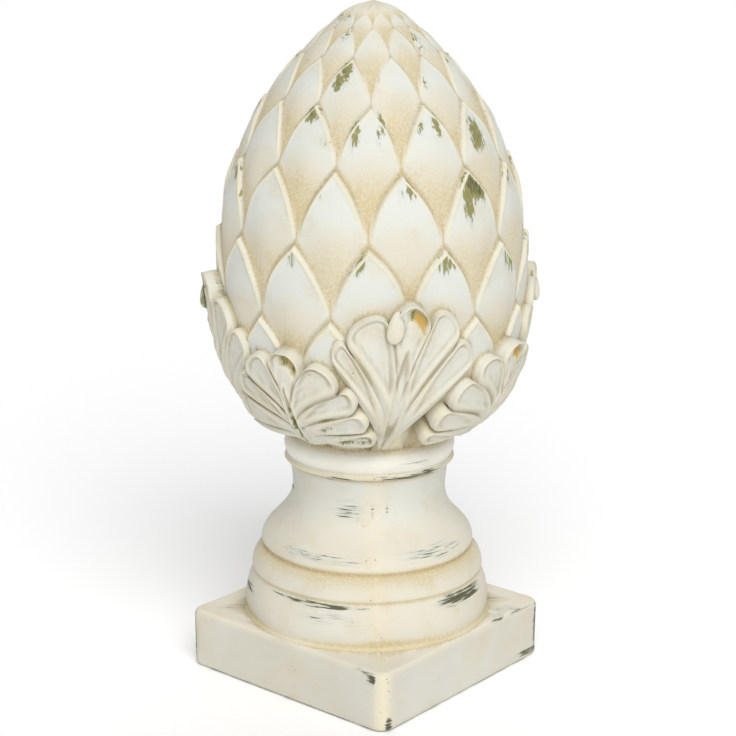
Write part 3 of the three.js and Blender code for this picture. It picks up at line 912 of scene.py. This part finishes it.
def joined(base, others):
    """The union of a piece with others, as a new mesh on the base piece."""
    for other in others:
        modifier = base.modifiers.new("join", "BOOLEAN")
        modifier.operation = "UNION"
        modifier.solver = "MANIFOLD"
        modifier.object = other
    evaluated = base.evaluated_get(bpy.context.evaluated_depsgraph_get())
    mesh = bpy.data.meshes.new_from_object(evaluated)
    base.modifiers.clear()
    base.data = mesh
    for other in others:
        bpy.data.objects.remove(other)
    return base


finial = marked_surface("finial", (cone_points, cone_faces, cone_marks))
others = [marked_surface("pedestal", pedestal), marked_surface("plinth", plinth)]
others += [marked_surface("leaf", leaf) for leaf in leaves + tongues]
finial = joined(finial, others)
print("one body:", len(finial.data.vertices), "points,", len(finial.data.polygons), "faces")

# %% [markdown]
# ## Where wash and wear sit
#
# Ochre wash runs into hollows, and rubbing takes paint off what stands proud. An occlusion node in the
# material could find the hollows while it renders, but it is slow and noisy. Here the surface is compared
# once with a softened copy of itself: where the copy lies outside, the surface is hollow, and where it lies
# inside, it is proud. Softening is heat flow over the mesh, so it reaches as far on fine triangles as on
# coarse ones.

# %% Hollow and proud
finial.data.calc_loop_triangles()
corners = np.empty(len(finial.data.loop_triangles) * 3, dtype=np.int32)
finial.data.loop_triangles.foreach_get("vertices", corners)
corners = corners.reshape(-1, 3)


def vertex_values(name, width):
    """A vertex property, such as co or normal, as an array."""
    values = np.empty(len(finial.data.vertices) * width, dtype=np.float32)
    finial.data.vertices.foreach_get(name, values)
    return values.reshape(-1, width).astype(float)


def attribute_values(name):
    """A float attribute of the finial as an array."""
    values = np.empty(len(finial.data.vertices), dtype=np.float32)
    finial.data.attributes[name].data.foreach_get("value", values)
    return values.astype(float)


def gathered(index, values, count):
    """Adds up rows of values that share an index."""
    return np.stack([np.bincount(index, values[:, i], count) for i in range(values.shape[1])], axis=-1)


def mesh_weights(points, triangles_of):
    """Edges with their cotangent weights, and the area that each point stands for."""
    edges, weights = [], []
    area = np.zeros(len(points))
    for i in range(3):
        a, b, c = (triangles_of[:, (i + k) % 3] for k in range(3))
        to_b, to_c = points[b] - points[a], points[c] - points[a]
        twice_area = np.linalg.norm(np.cross(to_b, to_c), axis=1) + 1e-9
        edges.append(np.stack([b, c], axis=-1))
        weights.append(0.5 * np.clip((to_b * to_c).sum(axis=1) / twice_area, 0.02, 20.0))
        area += np.bincount(a, twice_area / 6.0, len(points))
    return np.concatenate(edges), np.concatenate(weights), area


print("triangles of the finial:", len(corners))

# %% Softening
def softened(values, edges, weights, area, radius, rounds=60):
    """Heat flow for half the radius squared, solved in one step by conjugate gradients: area times the result
    plus the flow along all edges equals area times the start."""
    time, count = radius**2 / 2.0, len(values)
    a, b = edges.T
    diagonal = area + time * (np.bincount(a, weights, count) + np.bincount(b, weights, count))

    def operator(x):
        flow = weights[:, None] * (x[a] - x[b])
        return area[:, None] * x + time * (gathered(a, flow, count) - gathered(b, flow, count))

    result = values.copy()
    rest = area[:, None] * values - operator(result)
    scaled = rest / diagonal[:, None]
    step = scaled.copy()
    power = (rest * scaled).sum(axis=0)
    for _ in range(rounds):
        moved = operator(step)
        share = power / ((step * moved).sum(axis=0) + 1e-30)
        result += share * step
        rest -= share * moved
        scaled = rest / diagonal[:, None]
        power, before = (rest * scaled).sum(axis=0), power
        step = scaled + power / (before + 1e-30) * step
    return result


def hollowness(points, normals, radius):
    """How far outside the surface its softened copy lies, in mm: above 0 in hollows, below on proud edges."""
    return ((softened(points, edges, weights, area, radius) - points) * normals).sum(axis=1)


points = vertex_values("co", 3) / MM
normals = vertex_values("normal", 3)
edges, weights, area = mesh_weights(points, corners)
print("surface:", round(float(area.sum() / 100.0)), "square cm")

# %% Filled creases, uneven walls and a slight lean
CREASE_RADIUS, CREASE_FILL, CREASE_MOST = 1.0, 0.8, 0.7
WOBBLE, LEAN = 0.28, 1.6
SEAM_HEIGHT, SEAM_WIDTH = 0.22, 1.6
FINE_RADIUS, BROAD_RADIUS = 0.9, 4.0


def wobble(points):
    """A hand-made unevenness in mm: a sum of slow waves across x, y and z."""
    x, y, z = points.T
    waves = np.sin(x / 7.0 + z / 11.0) + np.sin(y / 6.0 - z / 9.0 + 1.0)
    return WOBBLE * (waves + np.sin((x - y) / 9.0 + z / 5.5 + 2.0)) / 3.0


def bearing_and_radius(points):
    """Bearing of points in radians, from the camera's side towards the viewer's right, and their radius."""
    azimuth = np.radians(CAMERA_AZIMUTH)
    aside = points[:, 0] * np.cos(azimuth) + points[:, 1] * np.sin(azimuth)
    ahead = points[:, 0] * np.sin(azimuth) - points[:, 1] * np.cos(azimuth)
    return np.arctan2(aside, ahead), np.hypot(aside, ahead)


def seam(points, width):
    """The mould's parting line, in front and behind: 1 on it, 0 away. It shows from the plinth's corner to
    the leaves, and again near the tip."""
    x, y, z = points.T
    from_seam = np.abs(y * np.cos(SEAM_ANGLE) - x * np.sin(SEAM_ANGLE))
    shows = 1.0 - smoothstep(z, BAND_BASE, CONE_BASE)
    shows = shows + smoothstep(z, FETTLED_FROM, FETTLED_FROM + FETTLED_FADE)
    return ridge(from_seam, 0.0, width) * shows


print("unevenness of up to", round(float(np.abs(wobble(points)).max()), 2), "mm")

# %% The surface as it came out of the mould
crease = np.clip(hollowness(points, normals, CREASE_RADIUS), 0.0, CREASE_MOST)
ends = within(points[:, 2], 0.0, 4.0, HEIGHT_MM - 6.0, HEIGHT_MM)
shift = CREASE_FILL * crease + ends * (wobble(points) + SEAM_HEIGHT * seam(points, SEAM_WIDTH))
points += normals * shift[:, None]
leaned = LEAN * (0.5 * smoothstep(points[:, 2], 50.0, 115.0) + 0.5 * smoothstep(points[:, 2], 105.0, 150.0))
points[:, 0] += leaned * np.cos(np.radians(CAMERA_AZIMUTH))
points[:, 1] += leaned * np.sin(np.radians(CAMERA_AZIMUTH))
points[:, 2] = np.clip(points[:, 2], 0.0, HEIGHT_MM)
finial.data.vertices.foreach_set("co", (points * MM).astype(np.float32).ravel())
finial.data.update()
normals = vertex_values("normal", 3)
edges, weights, area = mesh_weights(points, corners)
fine_hollow, broad_hollow = (hollowness(points, normals, radius) for radius in (FINE_RADIUS, BROAD_RADIUS))
print("fine hollows, mm:", np.percentile(fine_hollow, [1, 10, 50, 90, 99]).round(2))
print("broad hollows, mm:", np.percentile(broad_hollow, [1, 10, 50, 90, 99]).round(2))

# %% Marks of the union's new points
def neighbours_sum(values):
    """For each point, the sum of what its neighbours hold."""
    a, b = edges.T
    return np.bincount(a, values[b], len(values)) + np.bincount(b, values[a], len(values))


marks = {name: attribute_values(name) for name in MARKS}
known = marks.pop("known") > 0.999
print("new points:", int((~known).sum()), "of", len(known))
known_neighbours = np.maximum(neighbours_sum(known.astype(float)), 1.0)
for name, values in marks.items():
    near = neighbours_sum(np.where(known, values, 0.0)) / known_neighbours
    marks[name] = np.where(known, values, near)


# %% [markdown]
# ## Worn places
#
# The olive undercoat shows where a sponge or sandpaper rubbed the paint: just inside the tips of the scales,
# on the curled leaf tips, and in level streaks on the turned rings. The places that show in the photograph
# are listed by bearing from the camera, height, width, length and strength. The rest of the way round they
# are strewn by chance in the same kinds of place.

# %% Worn places
WORN_SCALES = [
    (44.5, 244.5, 15, 12, 1.7), (39, 237, 5, 16, 1.1), (54, 263, 8, 16, 1.2), (16, 245, 5, 9, 1.2),
    (6, 273, 3, 11, 1.1), (-30, 274, 8, 6, 1.3), (-6.5, 267, 4, 12, 1.0), (4, 266, 2, 7, 0.6),
    (12, 242, 2, 6, 0.6), (-3, 214, 4, 10, 1.2), (-6, 209, 2, 4, 0.6), (-19, 241, 2, 5, 0.6),
    (-18, 246, 3, 3, 0.5), (-28, 214, 3, 9, 0.8), (28, 213, 9, 9, 0.9), (61, 212, 14, 14, 0.9),
    (-48, 249, 8, 11, 0.7),
    (-15.5, 292, 5, 8, 1.2), (-19, 287, 5, 8, 1.1), (-28, 307, 5, 6, 0.7), (-54, 313, 11, 4, 0.6),
    (28, 293, 8, 5, 0.6), (47, 305, 8, 5, 0.7), (50, 299, 7, 5, 0.6), (34, 287, 2, 5, 0.8),
    (37, 274, 5, 7, 0.6), (5, 291, 2, 6, 0.8), (-20, 264, 4, 5, 0.4), (-60, 239, 3, 9, 0.8),
    (23.5, 269, 4, 5, 0.7), (32, 270, 4, 9, 1.0),
]
WORN_LEAVES = [
    (-33, 134, 9, 20, 1.6), (-17, 141, 8, 6, 1.1), (-8, 129, 18, 8, 1.5), (-27, 163, 9, 8, 1.1),
    (-19, 164, 5, 5, 0.9), (-74, 191, 8, 9, 0.9), (-81, 186, 11, 12, 6.0), (55, 163, 9, 6, 1.0),
    (-12, 134, 18, 8, 1.5), (34, 138, 5, 5, 0.8), (0, 172, 5, 5, 0.7),
]
WORN_RINGS = [
    (-16, 105, 22, 3, 0.55), (33, 106, 36, 4, 0.62), (-13, 89, 14, 10, 0.4), (-21, 69, 30, 4, 0.5),
    (39, 70, 36, 6, 0.4), (-26, 48.5, 44, 3, 0.8), (-18, 43, 30, 7, 0.3), (54, 47, 30, 6, 0.95),
    (4, 89, 1.5, 6, 0.6), (14, 90, 1.5, 5, 0.6), (32, 112, 16, 3, 0.4), (-40, 69, 18, 4, 0.4),
]
WORN_PLINTH = [
    (2, 25.5, 2.2, 5, 1.1), (7, 3, 3, 8, 1.1), (-84, 15, 1.6, 24, 1.3), (92, 4, 20, 3.5, 1.0),
    (92.8, 16, 2.4, 22, 1.2), (-1, 27.5, 5, 1.5, 0.8), (80, 27.8, 30, 1.2, 0.6),
]
print("seen in the photograph:", len(WORN_SCALES + WORN_LEAVES + WORN_RINGS + WORN_PLINTH), "marks")

# %% Worn places on the sides that the photograph doesn't show
BACK_BEARING, RINGS_BEARING, PLINTH_BEARING = 62.0, 75.0, 105.0
WORN_SHARE = 0.66


def strewn(chance, count, heights, widths, lengths, strengths, beyond=BACK_BEARING):
    """Chance marks beyond a bearing to either side, from ranges of height, width, length and strength."""
    bearings = chance.uniform(beyond, 360.0 - beyond, count)
    spans = (heights, widths, lengths, strengths)
    return np.column_stack([bearings] + [chance.uniform(*span, count) for span in spans])


def tip_marks(chance):
    """Marks just under the tips of the scales at the back, on two scales in three."""
    rows = np.arange(2, len(ROW_SHARES) - 1)
    row, k = (v.ravel() for v in np.meshgrid(rows, np.arange(SCALES_AROUND), indexing="ij"))
    angle = np.degrees(SCALE_TURN) + (row % 2 + 2 * k) * 180.0 / SCALES_AROUND
    bearing = (angle + 90.0 - CAMERA_AZIMUTH) % 360.0
    chosen = (np.abs(bearing - 180.0) < 180.0 - BACK_BEARING) & (chance.uniform(size=len(row)) < WORN_SHARE)
    bearing, tip_height = bearing[chosen], row_height(row[chosen].astype(float))
    size = np.hypot(1.0, cone_radius(tip_height)) / CONE_RADIUS
    count = len(bearing)
    return np.column_stack(
        [
            bearing + chance.normal(0.0, 3.0, count),
            tip_height - 7.0 * size,
            chance.uniform(3.0, 12.0, count) * size,
            chance.uniform(6.0, 16.0, count) * size,
            chance.uniform(0.5, 1.0, count),
        ]
    )


def rubbed(places):
    """For every point, the strongest mark: its strength times 1.5 minus the distance in mark sizes, where
    what is left after the 1.5 is kept within 0 and 1."""
    bearing, radius = bearing_and_radius(points)
    strongest = np.zeros(len(points))
    for place_bearing, height, width, length, strength in places:
        turn = np.angle(np.exp(1j * (bearing - np.radians(place_bearing))))
        distance = np.hypot(turn * radius / (0.5 * width), (points[:, 2] - height) / (0.5 * length))
        strongest = np.maximum(strongest, strength * np.clip(1.5 - distance, 0.0, 1.0))
    return strongest


chance = np.random.default_rng(7)
places = {
    "scales": [WORN_SCALES, tip_marks(chance)],
    "leaves": [WORN_LEAVES, strewn(chance, 14, (130, 188), (4, 12), (3, 8), (0.5, 0.9))],
    "rings": [WORN_RINGS, strewn(chance, 12, (40, 106), (14, 44), (2.5, 5.5), (0.32, 0.64), RINGS_BEARING)],
    "plinth": [WORN_PLINTH, strewn(chance, 8, (1, 28), (6, 32), (1.5, 3.5), (0.3, 0.66), PLINTH_BEARING)],
}
worn_at = {name: rubbed(np.concatenate(parts)) for name, parts in places.items()}
print("points that are worn:", {name: int((values > 0.5).sum()) for name, values in worn_at.items()})

# %% [markdown]
# ## Where each coat lies
#
# The finish needs to know what lies where, so every point gets a handful of numbers from 0 to 1: how much
# wash settled there, how bare it is rubbed, whether it is a rim, a belly, a crevice or the seam. They could
# be painted by hand, but they follow from things that are known: the height, the place on a scale or a leaf,
# and the hollows. They are kept as attributes, which follow the surface.

# %% Regions of the surface
height = points[:, 2]
on_leaf = marks["leaf"]
above = smoothstep(height, CONE_BASE - 1.0, CONE_BASE + 1.0)
on_scale = above * (1.0 - on_leaf) * (marks["relief"] > 0.0)
low_cone = above * (1.0 - on_leaf) * (1.0 - smoothstep(height, 185.0, 235.0))
tip = smoothstep(height, HEIGHT_MM - 12.0, HEIGHT_MM - 6.0)
on_plinth = 1.0 - smoothstep(height, PLINTH_HEIGHT - 0.5, PLINTH_HEIGHT + 1.5)
plinth_top = on_plinth * smoothstep(normals[:, 2], 0.7, 0.95)
front_corner = seam(points, 3.0) * on_plinth
foot_line = on_plinth * (1.0 - smoothstep(height, 0.5, 1.7))
on_rings = (1.0 - above) * (1.0 - on_plinth)
foot_ring = on_rings * (1.0 - smoothstep(height, TORUS_BASE - 0.8, TORUS_BASE - 0.2))
torus_foot = on_rings * (1.0 - smoothstep(height, TORUS_BASE, TORUS_BASE + 6.0))
ovolo_top = on_rings * within(height, OVOLO_BASE + 3.0, BELL_BASE, BELL_BASE, BELL_BASE + 2.0)
neck = on_rings * within(height, BELL_BASE + 14.0, BELL_BASE + 30.0, BAND_BASE - 2.0, BAND_BASE)
under_leaves = on_rings * smoothstep(height, BAND_BASE, BAND_BASE + 4.0)
shares = {"leaf": on_leaf, "scale": on_scale, "plinth": on_plinth, "rings": on_rings}
print("shares of the points:", {name: round(float(values.mean()), 2) for name, values in shares.items()})

# %% Hollows, bellies and wash
WASH_REACH = 0.12

along = marks["along"]
proud = smoothstep(-fine_hollow, 0.05, 0.17)
crevice = smoothstep(fine_hollow, 0.02, 0.18)
hollow = smoothstep(broad_hollow, 0.08, 0.9)
scale_foot = on_scale * (1.0 - smoothstep(along + WASH_REACH * wobble(points) / WOBBLE, 0.16, 0.55))
scale_point = on_scale * ridge(along, 0.0, 0.13)
scale_belly = on_scale * smoothstep(along, 0.38, 0.62)
# On the neck this cool white is painted shade under the cone, together with a grey coat.
belly = np.maximum.reduce([scale_belly, 0.8 * neck, 0.8 * under_leaves, 0.75 * on_leaf])
wash = 0.85 * scale_foot + 0.6 * hollow * (1.0 - scale_belly)
wash = wash + 0.55 * crevice * (1.0 - 0.7 * on_leaf) + 0.35 * on_rings * hollow
wash = wash * (1.0 - 0.85 * under_leaves) * (1.0 - 0.85 * plinth_top)
wash = wash + 0.1 * on_leaf + 0.75 * ovolo_top + 0.24 * torus_foot
wash = np.clip(wash * (1.0 - 0.38 * low_cone), 0.0, 1.0)
print("wash covers", round(float((wash > 0.5).mean()), 2), "of the points")

# %% What is rubbed bare
inside_tip = within(along, 0.42, 0.55, 0.945, 0.975)
proud = proud * (1.0 - 0.55 * on_plinth - 0.6 * tip - 0.45 * on_leaf)
proud = np.maximum.reduce([proud, 0.9 * front_corner, 0.8 * foot_ring])
rub = np.maximum.reduce(
    [
        worn_at["scales"] * on_scale * (1.0 - 0.85 * proud) * inside_tip,
        worn_at["leaves"] * on_leaf * (0.12 + smoothstep(fine_hollow, 0.03, 0.16)),
        worn_at["rings"] * on_rings,
        worn_at["plinth"] * on_plinth,
        0.62 * foot_line,
        1.1 * on_leaf * marks["fold"] * (1.0 - smoothstep(marks["across_fold"], 0.1, 0.3)),
    ]
)
print("rubbed bare:", round(float((rub > 0.6).mean()), 3), "of the points")

# %% Attributes for the paint
paint_marks = dict(
    wash=wash,
    deep=np.clip(0.8 * scale_point + 0.5 * on_rings * (1.0 - under_leaves) * hollow * crevice, 0.0, 1.0),
    line=(1.0 - on_leaf) * (1.0 - 0.7 * under_leaves) * smoothstep(fine_hollow, 0.1, 0.3),
    shade=on_leaf * np.clip(crevice + 0.5 * hollow, 0.0, 1.0),
    proud=proud,
    belly=belly,
    rub=rub,
    above=above,
    # The plinth's sides are greyer; on the neck this grey is painted shade under the cone.
    plinth_grey_and_neck_shade=np.maximum(on_plinth * (1.0 - plinth_top), 0.6 * neck),
    gold=on_leaf * smoothstep(marks["fold"], 0.35, 0.7),
    seam_tint=np.maximum(seam(points, 5.0), 0.8 * plinth_top),
    pitted=np.maximum(front_corner, 0.12 * seam(points, 7.0) * on_rings),
    # Painted light: a lighter white that brightens the band under the leaves and the plinth's top.
    painted_light=np.maximum(under_leaves, 0.5 * plinth_top),
)
for name in MARKS:
    finial.data.attributes.remove(finial.data.attributes[name])
for name, values in paint_marks.items():
    attribute = finial.data.attributes.new(name, "FLOAT", "POINT")
    attribute.data.foreach_set("value", values.astype(np.float32))
print({name: round(float(values.mean()), 3) for name, values in paint_marks.items()})

# %% [markdown]
# ## The finish
#
# The finish is chalk paint over an olive coat, with an ochre glaze wiped into the hollows. Chalk paint is
# matt, so the roughness is high and the IOR is that of a binder-poor paint, and all the interest lies in the
# colour: cool white bellies, cream rims, tan feet of scales, grainy where the wash dried, and brushy gaps
# that let the olive through. A painted picture could hold all that, but noises of a known size in mm need no
# picture. Brush gaps run up and down on the cone and level on the turned pedestal, so two of them are drawn
# out.

# %% Patterns
# For each: the size of its features in mm, its detail, and a factor on x, y and z, below 1 where the features
# are drawn out. Strokes run up the cone and level round the pedestal.
NOISES = {
    "mottle": (17.0, 3.0, (1.0, 1.0, 1.0)),
    "cloud": (39.1, 2.0, (1.0, 1.0, 1.0)),
    "grain": (1.0, 3.0, (1.0, 1.0, 1.0)),
    "strokes_up": (1.1, 4.0, (1.0, 1.0, 0.15)),
    "strokes_level": (0.6, 4.0, (0.06, 0.06, 1.0)),
}
SPECK_GAP, SPECK_SIZE = 2.6, 0.5


def per_metre(size_mm):
    """The scale of a pattern on Object coordinates whose features are this many mm across."""
    return 1.0 / (size_mm * MM)


material, tree, out = new_material("chalk_painted_slip_cast_ceramic")
place = add_node(tree, "ShaderNodeTexCoord").outputs["Object"]
mark = {"everywhere": 1.0}
for name in paint_marks:
    mark[name] = add_node(tree, "ShaderNodeAttribute", attribute_name=name).outputs["Fac"]
pattern = {}
for name, (size, detail, drawn_out) in NOISES.items():
    at = add_node(tree, "ShaderNodeMapping", {"Vector": place, "Scale": drawn_out})
    noise = {"Vector": at, "Scale": per_metre(size), "Detail": detail}
    pattern[name] = add_node(tree, "ShaderNodeTexNoise", noise)
print("patterns:", list(pattern))

# %% [markdown]
# ## Wash, bare places and specks
#
# The wash is thicker here and there, where it pooled. A rubbed place isn't a clean spot: the brush left the
# paint in strokes, so its edge breaks up along them, and what is bare is olive, darker where the rings are
# rubbed deep. Tiny pinholes in the glaze and paint show as dark specks, in a few areas and along the seam.

# %% Wash, bare places and specks
OLIVE, DARK_OLIVE = "#8A8654", "#53523C"

pooled = add_node(tree, "ShaderNodeMapRange", [pattern["mottle"], 0.5, 0.72, 0.0, 0.4])
mark["settled"] = add_node(tree, "ShaderNodeMath", [mark["wash"], pooled], operation="ADD")
strokes = {"Factor": mark["above"], "A": pattern["strokes_level"], "B": pattern["strokes_up"]}
brush = add_node(tree, "ShaderNodeMix", strokes, data_type="FLOAT")
ragged = add_node(tree, "ShaderNodeMapRange", [brush, 0.3, 0.7, -0.55, 0.55])
near_rub = add_node(tree, "ShaderNodeMapRange", [mark["rub"], 0.0, 0.35, 0.3, 1.0])
ragged = add_node(tree, "ShaderNodeMath", [ragged, near_rub], operation="MULTIPLY")
pattern["bare"] = add_node(tree, "ShaderNodeMath", [mark["rub"], ragged], operation="ADD")
below = add_node(tree, "ShaderNodeMath", [pattern["bare"], mark["above"]], operation="SUBTRACT")
below = add_node(tree, "ShaderNodeMapRange", [below, 0.1, 0.9, 0.0, 1.0])
olives = {"Factor": below, "A": linear(OLIVE), "B": linear(DARK_OLIVE)}
undercoat = add_node(tree, "ShaderNodeMix", olives, data_type="RGBA")
pinholes = add_node(tree, "ShaderNodeTexVoronoi", {"Vector": place, "Scale": per_metre(SPECK_GAP)})
hole_size = SPECK_SIZE / SPECK_GAP
mark["hole"] = add_node(tree, "ShaderNodeMapRange", [pinholes, 0.4 * hole_size, 0.8 * hole_size, 1.0, 0.0])
pattern["pitted"] = add_node(tree, "ShaderNodeMath", [pattern["mottle"], mark["pitted"]], operation="ADD")
print("nodes so far:", len(tree.nodes))

# %% [markdown]
# ## Coats of colour
#
# The colours are laid over each other as the painter laid them, but for a lighter white that is painted
# light on the band and the plinth's top, and a cool white and grey that are painted shade on the neck. A coat
# is there where its mark says so, times an amount that follows a pattern. A table holds the coats and one
# loop lays them, so a coat is one line to change.

# %% Coats of colour
CREAM = "#CFCABA"
# For each: its colour, its mark, its pattern, the pattern's values between which the amount changes, and the
# amount at both.
COATS = [
    ("#CFD0C8", "belly", "mottle", 0.0, 1.0, 1.0, 1.0),  # cool white, which on the neck is painted shade
    ("#C4C1B5", "plinth_grey_and_neck_shade", "mottle", 0.0, 1.0, 0.8, 0.8),  # plinth's grey, and painted shade on the neck
    ("#CFD0C8", "everywhere", "cloud", 0.42, 0.62, 0.0, 0.35),  # cool white in clouds
    ("#DDCFB8", "seam_tint", "mottle", 0.35, 0.6, 0.1, 0.45),  # peach
    ("#C4B58E", "settled", "grain", 0.34, 0.66, 0.45, 1.3),  # tan wash
    ("#B29462", "deep", "grain", 0.35, 0.65, 0.3, 0.9),  # ochre
    ("#9F8C64", "line", "grain", 0.3, 0.7, 0.3, 0.75),  # dark tan lines
    ("#9D9577", "shade", "mottle", 0.3, 0.65, 0.5, 0.95),  # shade in the leaves
    ("#C4A558", "gold", "mottle", 0.0, 1.0, 1.0, 1.0),  # gold in the folds
    ("#DAD0AE", "proud", "mottle", 0.35, 0.6, 0.9, 0.5),  # cream rims
    ("#E9E6DC", "painted_light", "mottle", 0.35, 0.65, 0.95, 0.7),  # lighter white: painted light on the band under the leaves and on the plinth's top
    ("#A9B0AB", "everywhere", "bare", 0.16, 0.6, 0.0, 0.6),  # grey smear round bare places
    (undercoat, "everywhere", "bare", 0.52, 0.7, 0.0, 1.0),
    (DARK_OLIVE, "hole", "pitted", 0.64, 0.7, 0.0, 0.85),
]

colour = linear(CREAM)
for over, where, broken_by, start, end, at_start, at_end in COATS:
    amount = add_node(tree, "ShaderNodeMapRange", [pattern[broken_by], start, end, at_start, at_end])
    amount = add_node(tree, "ShaderNodeMath", [mark[where], amount], operation="MULTIPLY")
    over = linear(over) if isinstance(over, str) else over
    colour = add_node(tree, "ShaderNodeMix", {"Factor": amount, "A": colour, "B": over}, data_type="RGBA")
print("coats:", len(COATS), "- nodes:", len(tree.nodes))

# %% The paint's surface
# Chalk paint has little binder: it scatters light and hardly shines. The bare undercoat is a little smoother.
PAINT_IOR, PAINT_ROUGHNESS, BARE_ROUGHNESS = 1.45, 0.78, 0.6
BUMP_STRENGTH, GRAIN_DEPTH, STROKE_DEPTH = 0.35, 0.22, 0.25

pits = {"Height": pattern["grain"], "Strength": BUMP_STRENGTH, "Distance": GRAIN_DEPTH * MM}
pits = add_node(tree, "ShaderNodeBump", pits)
furrows = {"Height": brush, "Strength": BUMP_STRENGTH, "Distance": STROKE_DEPTH * MM, "Normal": pits}
furrows = add_node(tree, "ShaderNodeBump", furrows)
by_bareness = [pattern["bare"], 0.3, 0.9, PAINT_ROUGHNESS, BARE_ROUGHNESS]
roughness = add_node(tree, "ShaderNodeMapRange", by_bareness)
paint = {"Base Color": colour, "Roughness": roughness, "IOR": PAINT_IOR, "Normal": furrows}
shader = add_node(tree, "ShaderNodeBsdfPrincipled", paint)
tree.links.new(shader.outputs["BSDF"], out.inputs["Surface"])
finial.data.materials.clear()
finial.data.materials.append(material)
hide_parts(NODE)
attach(finial, "root")
print("material:", material.name)
